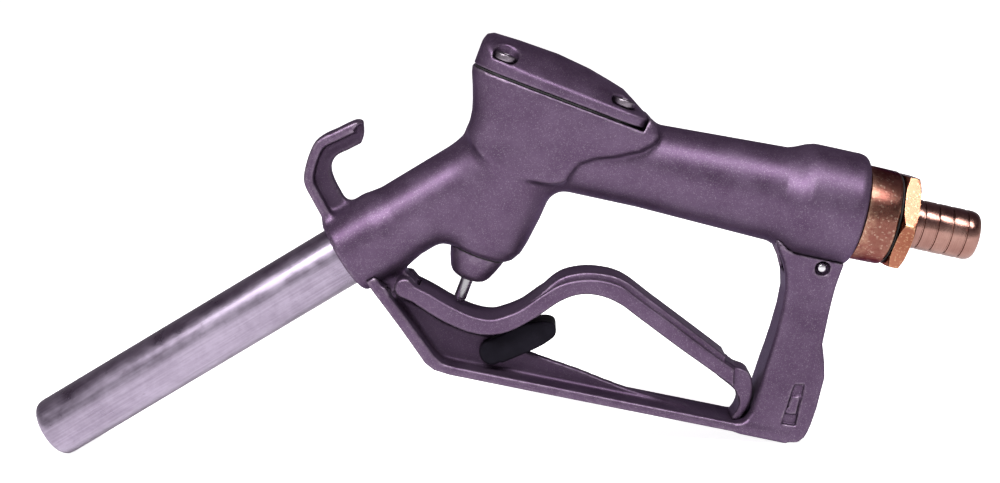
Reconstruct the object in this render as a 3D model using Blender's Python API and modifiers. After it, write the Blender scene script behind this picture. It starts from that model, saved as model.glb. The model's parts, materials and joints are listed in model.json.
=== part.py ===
"""Manual fuel nozzle, built as an assembly of separate named parts.

Units are metres in Blender; every dimension below is in millimetres and goes through MM.
Handle frame: origin J, where the handle axis meets the spout axis, +X along the handle
towards the hose, +Z up and square to it. The whole frame is tilted by STANCE so that the
object stands on its spout tip and on the heel of the guard.
Valve frame: the valve axis leans VALVE_LEAN from the handle frame's +Z.
Spout frame: +Z of its empty points down the spout from J.
"""

import math

import bmesh
import bpy
from mathutils import Matrix, Vector

MM = 0.001

# Main layout
SPOUT_ANGLE = math.radians(43.3)
VALVE_LEAN = math.radians(8.45)
VALVE_X = -5.6
SPOUT_END = 232.0
SPOUT_START = 62.6
SPOUT_R = 12.5
SPOUT_WALL = 1.5
HEEL = (128.0, -96.2)

# Casting
HANDLE_R_FRONT = 16.9
HANDLE_R_REAR = 19.0
HANDLE_BORE_R = 11.5
COLLAR_R = 22.7
COLLAR_START = 108.3
COLLAR_END = 130.9
THREAD_R = 17.2
FRONT_TUBE_R = 15.65
FRONT_COLLAR_R = 17.05
FRONT_COLLAR_START = 69.0
FRONT_COLLAR_END = 88.8
SOCKET_R = 12.8

# Valve, in the valve frame
SEAM_W = 21.3
CAP_EDGE_W = 26.3
CAP_CROWN_W = 37.0
FLOOR_W = 12.0
SEAT_LEDGE_W = 5.0
GLAND_SEAM_W = -48.6
GLAND_NOSE_W = -60.0
STEM_R = 2.5
STEM_TIP_W = -70.7
SCREW_SPOTS = ((-16.8, -15.0), (-16.8, 15.0), (32.0, -15.0), (32.0, 15.0))

# Trigger and guard
PIVOT = (-38.0, -67.0)
GUARD_PIN = (-46.0, -70.8)
REAR_PIN = (121.6, -23.9)
LATCH_PIVOT = (1.5, -86.2)
LEVER_HALF = 12.3
GUARD_HALF = 12.5
LUG_HALF = 5.0

# Swivel and hose tail
SLEEVE_R = 19.0
SLEEVE_END = 144.0
HEX_START = 145.3
HEX_END = 151.3
HEX_FLATS = 36.0
BARB_R = 9.9
BARB_END = 179.2


def clear_scene():
    for obj in list(bpy.data.objects):
        bpy.data.objects.remove(obj, do_unlink=True)


def new_collection(name, hidden=False):
    found = bpy.data.collections.new(name)
    bpy.context.scene.collection.children.link(found)
    found.hide_render = hidden
    return found


def material(name, color, roughness, metallic):
    mat = bpy.data.materials.new(name)
    mat.use_nodes = True
    shader = mat.node_tree.nodes["Principled BSDF"]
    shader.inputs["Base Color"].default_value = (*color, 1.0)
    shader.inputs["Roughness"].default_value = roughness
    shader.inputs["Metallic"].default_value = metallic
    mat.diffuse_color = (*color, 1.0)
    return mat


def frame_empty(name, parent, matrix):
    empty = bpy.data.objects.new(name, None)
    empty.empty_display_size = 0.01
    NODES.objects.link(empty)
    empty.parent = parent
    empty.matrix_local = matrix
    return empty


def mesh_object(name, points, faces, parent, mat=None):
    """A closed mesh from points in millimetres in its parent's frame, facing out."""
    mesh = bpy.data.meshes.new(name)
    mesh.from_pydata([tuple(c * MM for c in p) for p in points], [], faces)
    edit = bmesh.new()
    edit.from_mesh(mesh)
    bmesh.ops.remove_doubles(edit, verts=edit.verts, dist=1e-7)
    bmesh.ops.recalc_face_normals(edit, faces=edit.faces)
    if edit.calc_volume(signed=True) < 0:
        bmesh.ops.reverse_faces(edit, faces=edit.faces)
    edit.to_mesh(mesh)
    edit.free()
    obj = bpy.data.objects.new(name, mesh)
    obj.parent = parent
    if mat is None:
        CUTTERS.objects.link(obj)
        obj.hide_render = True
        obj.display_type = "WIRE"
    else:
        NODES.objects.link(obj)
        mesh.materials.append(mat)
    return obj


def lofted(name, rings, parent, mat=None):
    """Skin over rings of equal point count, closed by a face at each end."""
    count = len(rings[0])
    points = [p for ring in rings for p in ring]
    faces = [tuple(range(count)), tuple(range(len(points) - count, len(points)))]
    for level in range(len(rings) - 1):
        low = level * count
        for i in range(count):
            j = (i + 1) % count
            faces.append((low + i, low + j, low + count + j, low + count + i))
    return mesh_object(name, points, faces, parent, mat)


def turned(name, profile, parent, mat=None, axis="Z", steps=48):
    """A solid of revolution from (radius, height) pairs. A profile with every radius above
    zero is closed into a ring; one that starts and ends at zero is a solid."""
    ring_shaped = min(r for r, h in profile) > 0
    points = []
    index = []
    for r, h in profile:
        if r == 0:
            index.append([len(points)] * steps)
            points.append((0.0, 0.0, h))
            continue
        index.append([len(points) + i for i in range(steps)])
        for i in range(steps):
            a = 2 * math.pi * i / steps
            points.append((r * math.cos(a), r * math.sin(a), h))
    faces = []
    pairs = list(zip(index, index[1:]))
    if ring_shaped:
        pairs.append((index[-1], index[0]))
    for low, high in pairs:
        for i in range(steps):
            j = (i + 1) % steps
            corners = [low[i], low[j], high[j], high[i]]
            kept = tuple(dict.fromkeys(corners))
            if len(kept) > 2:
                faces.append(kept)
    if axis == "X":
        points = [(z, y, -x) for x, y, z in points]
    return mesh_object(name, points, faces, parent, mat)


def prism(name, outline, y0, y1, parent, mat=None):
    """An outline of (x, z) pairs carried across from y0 to y1."""
    rings = [[(x, y, z) for x, z in outline] for y in (y0, y1)]
    return lofted(name, rings, parent, mat)


def pin_y(name, spot, radius, half, parent, mat=None, steps=24, chamfer=0.0):
    """A round pin or hole across the object at spot = (x, z)."""
    rings = []
    levels = [(-half, radius - chamfer), (-half + chamfer, radius)]
    levels += [(half - chamfer, radius), (half, radius - chamfer)]
    if not chamfer:
        levels = [(-half, radius), (half, radius)]
    for y, r in levels:
        ring = []
        for i in range(steps):
            a = 2 * math.pi * i / steps
            ring.append((spot[0] + r * math.cos(a), y, spot[1] + r * math.sin(a)))
        rings.append(ring)
    return lofted(name, rings, parent, mat)


def box(name, low, high, parent, mat=None):
    ring = [(low[0], low[2]), (high[0], low[2]), (high[0], high[2]), (low[0], high[2])]
    return prism(name, ring, low[1], high[1], parent, mat)


def smooth(points, per=4):
    """An open Catmull-Rom curve through the points."""
    ends = [points[0]] + list(points) + [points[-1]]
    found = []
    for a, b, c, d in zip(ends, ends[1:], ends[2:], ends[3:]):
        for k in range(per):
            t = k / per
            found.append(
                tuple(
                    0.5 * (2 * q + (r - p) * t + (2 * p - 5 * q + 4 * r - s) * t * t
                           + (3 * q - p - 3 * r + s) * t ** 3)
                    for p, q, r, s in zip(a, b, c, d)
                )
            )
    found.append(tuple(points[-1]))
    return found


def arc(spot, radius, start, end, count=8):
    """Points on a circle, angles in degrees from +X towards +Z."""
    found = []
    for i in range(count + 1):
        a = math.radians(start + (end - start) * i / count)
        found.append((spot[0] + radius * math.cos(a), spot[1] + radius * math.sin(a)))
    return found


def oval(low, high, half, w, power=4.0, count=32):
    """A rounded oblong ring at height w, from low to high along X and half across Y."""
    ring = []
    for i in range(count):
        a = 2 * math.pi * i / count
        c, s = math.cos(a), math.sin(a)
        x = math.copysign(abs(c) ** (2 / power), c) * (high - low) / 2
        y = math.copysign(abs(s) ** (2 / power), s) * half
        ring.append(((high + low) / 2 + x, y, w))
    return ring


def boolean(target, tool, operation="DIFFERENCE"):
    modifier = target.modifiers.new(tool.name, "BOOLEAN")
    modifier.operation = operation
    modifier.solver = "EXACT"
    modifier.object = tool


def bevelled(obj, width, segments=2, angle=35.0):
    modifier = obj.modifiers.new("edges", "BEVEL")
    modifier.width = width * MM
    modifier.segments = segments
    modifier.limit_method = "ANGLE"
    modifier.angle_limit = math.radians(angle)
    modifier.harden_normals = False


def handle_profile(extra=0.0):
    """(radius, x) down the outside of the handle and the rear collar."""
    return [
        (HANDLE_R_FRONT + extra, 14.0),
        (HANDLE_R_FRONT + extra, 45.0),
        (HANDLE_R_REAR + extra, 98.8),
        (20.0 + extra, 101.8),
        (21.7 + extra, 105.6),
        (COLLAR_R + extra, COLLAR_START + 1.0),
        (COLLAR_R + extra, COLLAR_END - 2.4),
        (COLLAR_R - 0.8 + extra, COLLAR_END - 0.8),
        (COLLAR_R - 2.4 + extra, COLLAR_END),
    ]


def front_profile(extra=0.0):
    """(radius, s) down the outside of the front tube and collar."""
    return [
        (FRONT_TUBE_R + extra, 6.0),
        (FRONT_TUBE_R + extra, 61.5),
        (FRONT_TUBE_R + 0.9 + extra, 66.0),
        (FRONT_COLLAR_R + extra, FRONT_COLLAR_START),
        (FRONT_COLLAR_R + extra, FRONT_COLLAR_END - 1.2),
        (FRONT_COLLAR_R - 1.2 + extra, FRONT_COLLAR_END),
    ]


def capped(profile):
    return [(0, profile[0][1])] + profile + [(0, profile[-1][1])]


HOOK_OUTER = (
    (-72.5, -54.0), (-75.0, -48.5), (-80.4, -41.8), (-85.0, -36.0), (-86.3, -31.5),
    (-86.0, -25.0), (-84.6, -19.0), (-82.0, -15.5), (-77.2, -11.9), (-73.0, -8.6),
    (-70.1, -6.9), (-68.0, -7.6), (-66.8, -11.5), (-67.1, -15.3),
)
HOOK_INNER = (
    (-71.5, -18.9), (-75.4, -22.0), (-77.0, -25.6), (-76.5, -29.0), (-74.5, -32.4),
    (-72.1, -35.4), (-69.0, -38.6), (-63.0, -42.0),
)
LEVER_TOP = (
    (-34.0, -65.4), (-27.7, -67.1), (-18.9, -70.0), (-10.4, -72.0), (-3.3, -72.1),
    (1.4, -70.4), (8.6, -65.6), (15.1, -58.6), (21.7, -52.3), (29.1, -48.6),
    (37.5, -46.9), (46.0, -47.6), (51.5, -50.1), (59.5, -53.8), (67.6, -57.4),
    (81.1, -63.7), (90.1, -67.8), (97.2, -70.8),
)
LEVER_BOTTOM = (
    (98.8, -78.2), (87.1, -73.0), (73.7, -67.2), (55.6, -58.9), (46.7, -54.9),
    (38.2, -53.4), (30.4, -54.7), (23.3, -59.2), (15.1, -67.9), (6.5, -75.2),
    (-1.0, -78.4), (-8.8, -79.1), (-17.2, -77.7), (-25.0, -75.4), (-34.0, -71.8),
)
TONGUE = (
    (92.0, -69.3), (98.5, -70.9), (103.2, -72.6), (105.6, -76.5), (106.8, -81.0),
    (106.6, -85.0), (105.8, -88.6), (104.6, -92.1), (101.8, -92.1), (103.1, -88.0),
    (103.2, -84.8), (101.6, -82.0), (98.8, -79.4), (92.0, -76.0),
)


def hook_solids(body):
    web = list(smooth(HOOK_OUTER, 3)) + list(smooth(HOOK_INNER, 3))
    boolean(body, prism("cut_hook_web", web, -3.0, 3.0, HANDLE), "UNION")
    outer = smooth(HOOK_OUTER, 3)
    inner = []
    for i, (x, z) in enumerate(outer):
        a = outer[max(i - 1, 0)]
        b = outer[min(i + 1, len(outer) - 1)]
        along = Vector((b[0] - a[0], b[1] - a[1])).normalized()
        inner.append((x + along[1] * 3.8, z - along[0] * 3.8))
    keep = len(outer) - 8
    band = outer[:keep] + inner[:keep][::-1]
    boolean(body, prism("cut_hook_rim", band, -7.6, 7.6, HANDLE), "UNION")


def lug_outline():
    points = [(-58.0, -57.0), (-52.5, -68.0)]
    points += arc(GUARD_PIN, 3.4, 190, 330, 6)
    points += arc(PIVOT, 4.2, 215, 360, 6)
    points += [(-33.5, -56.0), (-38.0, -48.0)]
    return points


def chamber_rings():
    levels = (
        (-17.5, -12.0, 12.0, 10.0), (-15.5, -15.5, 15.5, 14.0), (-11.0, -19.2, 18.6, 17.0),
        (-4.0, -21.0, 21.6, 18.6), (3.0, -21.4, 24.5, 19.3), (8.0, -22.6, 30.5, 19.9),
        (12.5, -24.8, 38.5, 20.5), (16.5, -27.2, 45.6, 21.1), (19.0, -28.0, 48.8, 21.4),
        (SEAM_W + 1.0, -28.0, 49.2, 21.4), (26.3, -28.0, 46.6, 20.8),
    )
    return [oval(low, high, half, w, 3.6) for w, low, high, half in levels]


def make_body():
    body = turned("nozzle_body", capped(handle_profile()), HANDLE, CAST, "X", 48)
    tools = [
        turned("cut_front_tube", capped(front_profile()), SPOUT, steps=44),
        lofted("cut_chamber", chamber_rings(), VALVE),
        turned(
            "cut_lower_chamber",
            [(0, GLAND_SEAM_W), (12.2, GLAND_SEAM_W), (14.4, -46.8), (16.4, -43.0),
             (17.4, -38.0), (18.6, -27.0), (19.2, -16.0), (18.0, -6.0), (0, -6.0)],
            VALVE, steps=36,
        ),
        prism("cut_lug", lug_outline(), -LUG_HALF, LUG_HALF, HANDLE),
        prism(
            "cut_rear_lug",
            [(110.0, -18.0), (110.0, -26.0), (114.0, -28.8), (126.0, -28.8), (129.2, -25.8),
             (129.2, -18.0)],
            -6.5, 6.5, HANDLE,
        ),
    ]
    for tool in tools:
        boolean(body, tool, "UNION")
    hook_solids(body)
    cut_body(body)
    return body


def cut_body(body):
    tools = [
        turned(
            "cut_handle_bore",
            [(0, 20.0), (HANDLE_BORE_R, 20.0), (HANDLE_BORE_R, 108.8), (THREAD_R, 108.8),
             (THREAD_R, 129.7), (THREAD_R + 1.4, 131.1), (THREAD_R + 1.4, 136.0), (0, 136.0)],
            HANDLE, axis="X", steps=40,
        ),
        turned(
            "cut_front_bore",
            [(0, 14.0), (11.0, 14.0), (11.0, 62.0), (SOCKET_R, 62.0), (SOCKET_R, 69.6),
             (14.5, 69.6), (14.5, 72.4), (SOCKET_R, 72.4), (SOCKET_R, 95.0), (0, 95.0)],
            SPOUT, steps=40,
        ),
        turned(
            "cut_valve_bore",
            [(0, -52.0), (9.3, -52.0), (9.3, -41.0), (11.0, -41.0), (11.0, SEAT_LEDGE_W),
             (12.6, SEAT_LEDGE_W), (12.6, 24.0), (0, 24.0)],
            VALVE, steps=40,
        ),
        lofted(
            "cut_cap_room",
            [oval(-34.0, 43.6, 25.0, w, 3.6) for w in (SEAM_W - 0.3, 50.0)],
            VALVE,
        ),
        lofted(
            "cut_pocket",
            [oval(-4.0, 33.0, 8.5, w, 3.0, 24) for w in (FLOOR_W, 24.0)],
            VALVE,
        ),
        pin_y("cut_pivot_hole", PIVOT, 2.06, 8.0, HANDLE),
        pin_y("cut_front_pin_hole", GUARD_PIN, 1.56, 8.0, HANDLE),
        pin_y("cut_rear_pin_hole", REAR_PIN, 1.56, 12.0, HANDLE),
    ]
    for n, (u, y) in enumerate(SCREW_SPOTS):
        profile = [(0, 12.8), (2.7, 12.8), (2.7, 24.0), (0, 24.0)]
        tools.append(shifted(turned(f"cut_screw_hole_{n}", profile, VALVE, steps=16), u, y))
    for tool in tools:
        boolean(body, tool)


def shifted(obj, x, y, z=0.0):
    obj.location = (x * MM, y * MM, z * MM)
    return obj


def make_spout():
    inner = SPOUT_R - SPOUT_WALL
    profile = [
        (SPOUT_R, SPOUT_START), (SPOUT_R, SPOUT_END - 3.0), (SPOUT_R - 0.5, SPOUT_END - 1.2),
        (SPOUT_R - 1.5, SPOUT_END), (inner - 0.6, SPOUT_END), (inner, SPOUT_END - 2.0),
        (inner, SPOUT_START),
    ]
    turned("spout_tube", profile, SPOUT, BARE, steps=48)
    o_ring("spout_o_ring", 13.45, 0.85, 71.0, SPOUT)


def o_ring(name, major, minor, height, parent, axis="Z"):
    profile = []
    for i in range(6):
        a = 2 * math.pi * i / 6
        profile.append((major + minor * math.cos(a), height + minor * math.sin(a)))
    return turned(name, profile, parent, RUBBER, axis, 28)


def make_cap():
    crown = ((-28.0, 32.0), (-24.0, 36.0), (-10.0, 37.0), (8.0, 37.2), (22.0, 35.4),
             (33.0, 33.6), (39.0, 30.6), (43.0, 28.0))
    edge = oval(-27.6, 43.0, 21.0, 0.0, 3.6)
    rings = [[(x, y, SEAM_W + 0.7) for x, y, z in edge]]
    rings.append([(x, y, CAP_EDGE_W - 0.8) for x, y, z in edge])
    for t in (0.985, 0.93, 0.84, 0.7, 0.52, 0.3, 0.1):
        ring = []
        for x, y, z in edge:
            u = 9.0 + (x - 9.0) * t
            top = crown_height(crown, u)
            rise = 1 - abs(y * t / 21.0) ** 1.8
            ring.append((u, y * t, CAP_EDGE_W + (top - CAP_EDGE_W) * rise))
        rings.append(ring)
    cap = lofted("valve_cap", rings, VALVE, CAST)
    spring_pocket = [(0, 15.0), (12.6, 15.0), (12.6, 30.6), (0, 30.6)]
    boolean(cap, turned("cut_spring_pocket", spring_pocket, VALVE, steps=40))
    for n, (u, y) in enumerate(SCREW_SPOTS):
        profile = [(0, 15.0), (2.8, 15.0), (2.8, 27.0), (5.0, 27.0), (5.0, 45.0), (0, 45.0)]
        boolean(cap, shifted(turned(f"cut_cap_hole_{n}", profile, VALVE, steps=20), u, y))


def crown_height(crown, u):
    for (a, low), (b, high) in zip(crown, crown[1:]):
        if u <= b:
            return low + (high - low) * max(0.0, (u - a)) / (b - a)
    return crown[-1][1]


def make_gasket():
    rings = [oval(-27.0, 42.4, 20.5, w, 3.6) for w in (SEAM_W, SEAM_W + 0.4)]
    gasket = lofted("cap_gasket", rings, VALVE, RUBBER)
    centre = lofted("cut_gasket_well", [oval(-13, 13, 13, w, 2.0, 32) for w in (15, 30)], VALVE)
    pocket = lofted("cut_gasket_pocket", [oval(-4, 33, 8.5, w, 3.0, 24) for w in (15, 30)], VALVE)
    boolean(gasket, centre)
    boolean(gasket, pocket)
    for n, (u, y) in enumerate(SCREW_SPOTS):
        profile = [(0, 15.0), (2.8, 15.0), (2.8, 30.0), (0, 30.0)]
        tool = turned(f"cut_gasket_hole_{n}", profile, VALVE, steps=16)
        boolean(gasket, shifted(tool, u, y))


def make_cap_screws():
    for n, (u, y) in enumerate(SCREW_SPOTS):
        head = [(0, 13.2), (2.4, 13.2), (2.4, 27.3), (4.3, 27.3), (4.3, 29.7), (3.7, 30.3),
                (0, 30.3)]
        screw = turned(f"cap_screw_{n + 1}", head, VALVE, ZINC, steps=20)
        shifted(screw, u, y)
        slot = box(f"cut_slot_{n}", (-6.0, -0.6, 29.1), (6.0, 0.6, 33.0), VALVE)
        boolean(screw, shifted(slot, u, y))


def make_valve():
    turned("valve_seat", [(12.3, 5.3), (12.3, 11.3), (10.8, 12.0), (8.4, 12.0), (8.0, 11.4),
                          (8.0, 5.3)], VALVE, BRASS, steps=32)
    turned("poppet_seal", [(10.0, 12.3), (10.0, 13.8), (3.0, 13.8), (3.0, 12.3)], VALVE_MOVE,
           RUBBER, steps=36)
    turned("valve_poppet", [(0, 14.1), (10.4, 14.1), (10.4, 16.2), (9.6, 17.0), (5.2, 17.0),
                            (5.2, 21.5), (4.4, 22.3), (0, 22.3)], VALVE_MOVE, BRASS, steps=36)
    stem = [(0, STEM_TIP_W), (1.3, STEM_TIP_W + 0.15), (2.1, STEM_TIP_W + 0.7),
            (STEM_R, STEM_TIP_W + 1.6), (STEM_R, 13.8), (0, 13.8)]
    turned("valve_stem", stem, VALVE_MOVE, STEEL, steps=24)
    make_spring("main_spring", 7.4, 0.9, 17.0 + 1.2, 30.6 - 1.2, 5.5)
    gland = [
        (2.62, -60.4), (4.6, -60.3), (6.6, -59.4), (8.4, -57.2), (9.9, -53.6), (11.3, -49.2),
        (8.9, -49.2), (8.9, -41.6), (4.4, -41.6), (4.4, -44.6), (2.62, -44.6),
    ]
    turned("packing_gland", gland, VALVE, CAST, steps=32)
    o_ring("stem_o_ring", 3.45, 0.72, -43.2, VALVE)
    turned("gland_gasket", [(9.6, -49.0), (11.2, -49.0), (11.2, -48.75), (9.6, -48.75)],
           VALVE, RUBBER, steps=36)


def make_spring(name, radius, wire, low, high, turns, per=14, sides=5):
    """A helix of round wire, flat-capped at both ends."""
    rings = []
    count = int(turns * per)
    for k in range(count + 1):
        t = k / count
        a = 2 * math.pi * turns * t
        centre = Vector((radius * math.cos(a), radius * math.sin(a), low + (high - low) * t))
        out = Vector((math.cos(a), math.sin(a), 0.0))
        up = Vector((0.0, 0.0, 1.0))
        ring = []
        for i in range(sides):
            b = 2 * math.pi * i / sides
            ring.append(tuple(centre + out * wire * math.cos(b) + up * wire * math.sin(b)))
        rings.append(ring)
    return lofted(name, rings, VALVE, STEEL)


def make_lever():
    outline = arc(PIVOT, 4.0, 250, 75, 10) + smooth(LEVER_TOP, 3) + smooth(LEVER_BOTTOM, 3)
    lever = prism("trigger_lever", local(outline), -LEVER_HALF, LEVER_HALF, TRIGGER, CAST)
    bevelled(lever, 1.2, 1, 50.0)
    tongue = prism("cut_tongue", local(smooth(TONGUE, 3)), -7.0, 7.0, TRIGGER)
    boolean(lever, tongue, "UNION")
    strip = smooth(((14.0, -59.6), (20.4, -51.2), (28.4, -46.7), (37.5, -44.9),
                    (47.0, -45.8), (60.3, -51.9), (82.0, -61.9), (93.6, -67.4)))
    strip += [(92.0, -70.0), (60.0, -56.5), (38.0, -49.5), (20.0, -57.0)]
    boolean(lever, prism("cut_strip", local(strip), -9.2, 9.2, TRIGGER), "UNION")
    boolean(lever, box("cut_fork", (-12.0, -5.4, -12.0), (5.4, 5.4, 12.0), TRIGGER))
    boolean(lever, pin_y("cut_lever_eye", (0.0, 0.0), 2.06, 11.3, TRIGGER))
    pin_y("trigger_pivot_pin", PIVOT, 2.0, 11.0, HANDLE, STEEL, 24, 0.4)


def local(outline):
    return [(x - PIVOT[0], z - PIVOT[1]) for x, z in outline]


def rail_outline():
    outer = [(-54.5, -67.0), (-36.3, -83.4), (-26.6, -92.6), (-23.9, -95.2), (-19.8, -97.2),
             (-13.5, -97.8), (124.0, -95.7)]
    inner = [(124.0, -92.0), (-13.0, -94.0), (-17.0, -93.6), (-20.8, -91.4), (-36.0, -77.6),
             (-51.6, -63.8)]
    return outer + inner


def guard_web_outline():
    return [
        (-42.0, -77.0), (-38.0, -77.3), (-30.0, -79.8), (-20.0, -82.0), (-8.0, -84.0),
        (6.0, -84.0), (16.0, -84.3), (25.5, -85.6), (38.2, -87.2), (47.0, -88.8),
        (56.0, -90.2), (80.0, -92.3), (80.0, -94.5), (-17.0, -95.5), (-24.0, -92.0),
    ]


def post_rings():
    levels = (
        (-95.7, 104.0, 127.5, 11.6), (-94.8, 103.0, 129.4, 12.4), (-92.5, 103.4, 131.2, 12.6),
        (-90.0, 106.2, 132.0, 12.6), (-86.5, 107.9, 132.6, 12.5), (-80.0, 108.6, 133.2, 12.2),
        (-67.0, 109.4, 133.5, 11.2), (-61.0, 109.9, 132.0, 10.8), (-54.0, 110.3, 129.6, 10.2),
        (-44.0, 110.5, 129.3, 9.5), (-36.0, 110.0, 129.2, 9.0), (-30.0, 108.4, 129.2, 9.4),
        (-25.0, 106.0, 129.4, 10.4), (-20.0, 102.4, 129.7, 11.6), (-15.0, 99.0, 129.9, 13.0),
    )
    return [oval(low, high, half, z, 7.0, 32) for z, low, high, half in levels]


def make_guard():
    guard = prism("trigger_guard", rail_outline(), -GUARD_HALF, GUARD_HALF, HANDLE, CAST)
    web = prism("cut_guard_web", guard_web_outline(), -2.2, 2.2, HANDLE)
    boolean(guard, web, "UNION")
    boolean(guard, lofted("cut_post", post_rings(), HANDLE), "UNION")
    for n, side in enumerate((-1, 1)):
        ear = pin_y(f"cut_ear_{n}", GUARD_PIN, 2.8, 3.4, HANDLE)
        shifted(ear, 0.0, side * 8.9)
        boolean(guard, ear, "UNION")
    cuts = [
        turned("cut_collar_room", capped(front_profile(0.35))[:-1] + [
            (FRONT_COLLAR_R + 0.35, 94.0), (0, 94.0)], SPOUT, steps=48),
        turned("cut_handle_room", capped(handle_profile(0.35)), HANDLE, axis="X", steps=48),
        box("cut_lug_room", (-62.0, -5.4, -78.0), (-41.0, 5.4, -50.0), HANDLE),
        box("cut_rear_lug_room", (95.0, -6.8, -29.0), (140.0, 6.8, -10.0), HANDLE),
        box("cut_tongue_room", (96.0, -7.8, -92.6), (108.4, 7.8, -78.0), HANDLE),
        box("cut_front_window", (118.6, -20.0, -87.0), (126.0, -10.2, -71.0), HANDLE),
        box("cut_back_window", (118.6, 10.2, -87.0), (126.0, 20.0, -71.0), HANDLE),
        pin_y("cut_guard_front_hole", GUARD_PIN, 1.56, 11.3, HANDLE),
        pin_y("cut_guard_rear_hole", REAR_PIN, 1.56, 20.0, HANDLE),
        pin_y("cut_latch_hole", LATCH_PIVOT, 1.56, 6.0, HANDLE),
    ]
    for tool in cuts:
        boolean(guard, tool)
    pin_y("guard_front_pin", GUARD_PIN, 1.5, 11.0, HANDLE, STEEL, 20, 0.3)
    pin_y("guard_rear_pin", REAR_PIN, 1.5, 9.9, HANDLE, STEEL, 20, 0.3)


def make_latch():
    """Two cheeks that straddle the guard web, joined by a finger tab."""
    def shape(points):
        return [(x - LATCH_PIVOT[0], z - LATCH_PIVOT[1]) for x, z in points]
    cheek = arc(LATCH_PIVOT, 5.2, 130, 320, 12)
    cheek += smooth(((10.0, -87.0), (16.4, -82.8), (22.0, -78.0), (25.3, -74.2),
                     (24.6, -71.5), (22.3, -69.4), (18.5, -70.6), (13.1, -73.4),
                     (8.0, -76.6), (3.0, -79.8)), 2)
    latch = prism("hold_open_latch", shape(cheek), -7.4, 7.4, LATCH, BLACK)
    boolean(latch, box("cut_latch_slot", (-9.0, -2.7, -9.0), (16.0, 2.7, 14.0), LATCH))
    boolean(latch, pin_y("cut_latch_eye", (0.0, 0.0), 1.56, 6.5, LATCH))
    pin_y("latch_pin", LATCH_PIVOT, 1.5, 6.2, HANDLE, STEEL, 20, 0.3)


def make_swivel():
    sleeve = [
        (16.9, 109.2), (16.9, 131.2), (SLEEVE_R - 0.3, 131.2), (SLEEVE_R, 131.6),
        (SLEEVE_R - 0.2, SLEEVE_END - 0.9), (SLEEVE_R - 0.9, SLEEVE_END), (12.3, SLEEVE_END),
        (12.3, 119.4), (14.6, 119.4), (14.6, 109.2),
    ]
    turned("swivel_sleeve", sleeve, HANDLE, BRASS, "X", 40)
    make_swivel_hex()
    turned("swivel_ring", [(11.3, 115.7), (14.1, 115.7), (14.1, 117.2), (11.3, 117.2)],
           SWIVEL, STEEL, "X", 36)
    o_ring("swivel_o_ring", 11.15, 0.95, 127.0, SWIVEL, "X")
    turned("swivel_dust_seal", [(12.4, 144.3), (18.0, 144.3), (18.0, 145.0), (12.4, 145.0)],
           HANDLE, RUBBER, "X", 32)
    make_hose_tail()


def make_swivel_hex():
    shaft = [
        (0, 114.0), (11.6, 114.0), (12.0, 114.4), (12.0, 115.4), (11.0, 115.4), (11.0, 117.5),
        (12.0, 117.5), (12.0, 125.7), (10.0, 125.7), (10.0, 128.3), (12.0, 128.3),
        (12.0, 148.0), (0, 148.0),
    ]
    piece = turned("swivel_hex", shaft, SWIVEL, BRASS, "X", 36)
    across = HEX_FLATS / 2 / math.cos(math.pi / 6)
    rings = []
    for x in (HEX_START, HEX_END):
        ring = []
        for i in range(6):
            a = math.radians(60 * i + HEX_TURN)
            ring.append((x, across * math.sin(a), across * math.cos(a)))
        rings.append(ring)
    nut = lofted("cut_hex", rings, SWIVEL)
    round_off = [(0, 140.0), (18.9, 140.0), (18.9, HEX_START), (20.9, HEX_START + 1.1),
                 (20.9, HEX_END - 1.2), (18.7, HEX_END), (18.7, 158.0), (0, 158.0)]
    limit = turned("cut_hex_chamfer", round_off, SWIVEL, axis="X", steps=36)
    boolean(nut, limit, "INTERSECT")
    boolean(piece, nut, "UNION")
    bore = [(0, 108.0), (7.6, 108.0), (7.6, 136.0), (9.3, 136.0), (9.3, 156.0), (0, 156.0)]
    boolean(piece, turned("cut_hex_bore", bore, SWIVEL, axis="X", steps=32))


def make_hose_tail():
    outer = [(9.0, 136.4), (9.0, HEX_END + 0.4), (BARB_R, HEX_END + 0.5)]
    for n in range(4):
        groove = 156.6 + 5.35 * n
        outer += [(BARB_R, groove), (BARB_R - 0.75, groove + 0.5), (BARB_R, groove + 2.2)]
    outer += [(BARB_R - 0.1, BARB_END - 2.6), (BARB_R - 0.9, BARB_END - 0.8),
              (BARB_R - 1.9, BARB_END), (6.6, BARB_END), (6.2, BARB_END - 0.6), (6.2, 136.4)]
    turned("hose_tail", outer, SWIVEL, COPPER, "X", 36)


def ground(root):
    """Moves the whole object so that its box stands on z = 0, centred on x = 0."""
    bpy.context.view_layer.update()
    graph = bpy.context.evaluated_depsgraph_get()
    points = []
    for obj in NODES.objects:
        if obj.type != "MESH":
            continue
        evaluated = obj.evaluated_get(graph)
        mesh = evaluated.to_mesh()
        points += [evaluated.matrix_world @ v.co for v in mesh.vertices]
        evaluated.to_mesh_clear()
    low = min(p.z for p in points)
    middle = (min(p.x for p in points) + max(p.x for p in points)) / 2
    root.location = (root.location.x - middle, 0.0, root.location.z - low)
    bpy.context.view_layer.update()


clear_scene()
NODES = new_collection("fuel_nozzle")
CUTTERS = new_collection("cutters", hidden=True)
CAST = material("cast_aluminium", (0.13, 0.105, 0.13), 0.45, 0.7)
BARE = material("bare_aluminium", (0.62, 0.60, 0.66), 0.32, 1.0)
BRASS = material("brass", (0.62, 0.36, 0.14), 0.38, 1.0)
COPPER = material("turned_brass", (0.80, 0.48, 0.36), 0.3, 1.0)
STEEL = material("steel", (0.6, 0.6, 0.6), 0.3, 1.0)
ZINC = material("zinc_steel", (0.45, 0.42, 0.42), 0.4, 1.0)
RUBBER = material("rubber", (0.02, 0.02, 0.02), 0.7, 0.0)
BLACK = material("black_steel", (0.03, 0.03, 0.035), 0.5, 0.3)
HEX_TURN = 32.0

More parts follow.
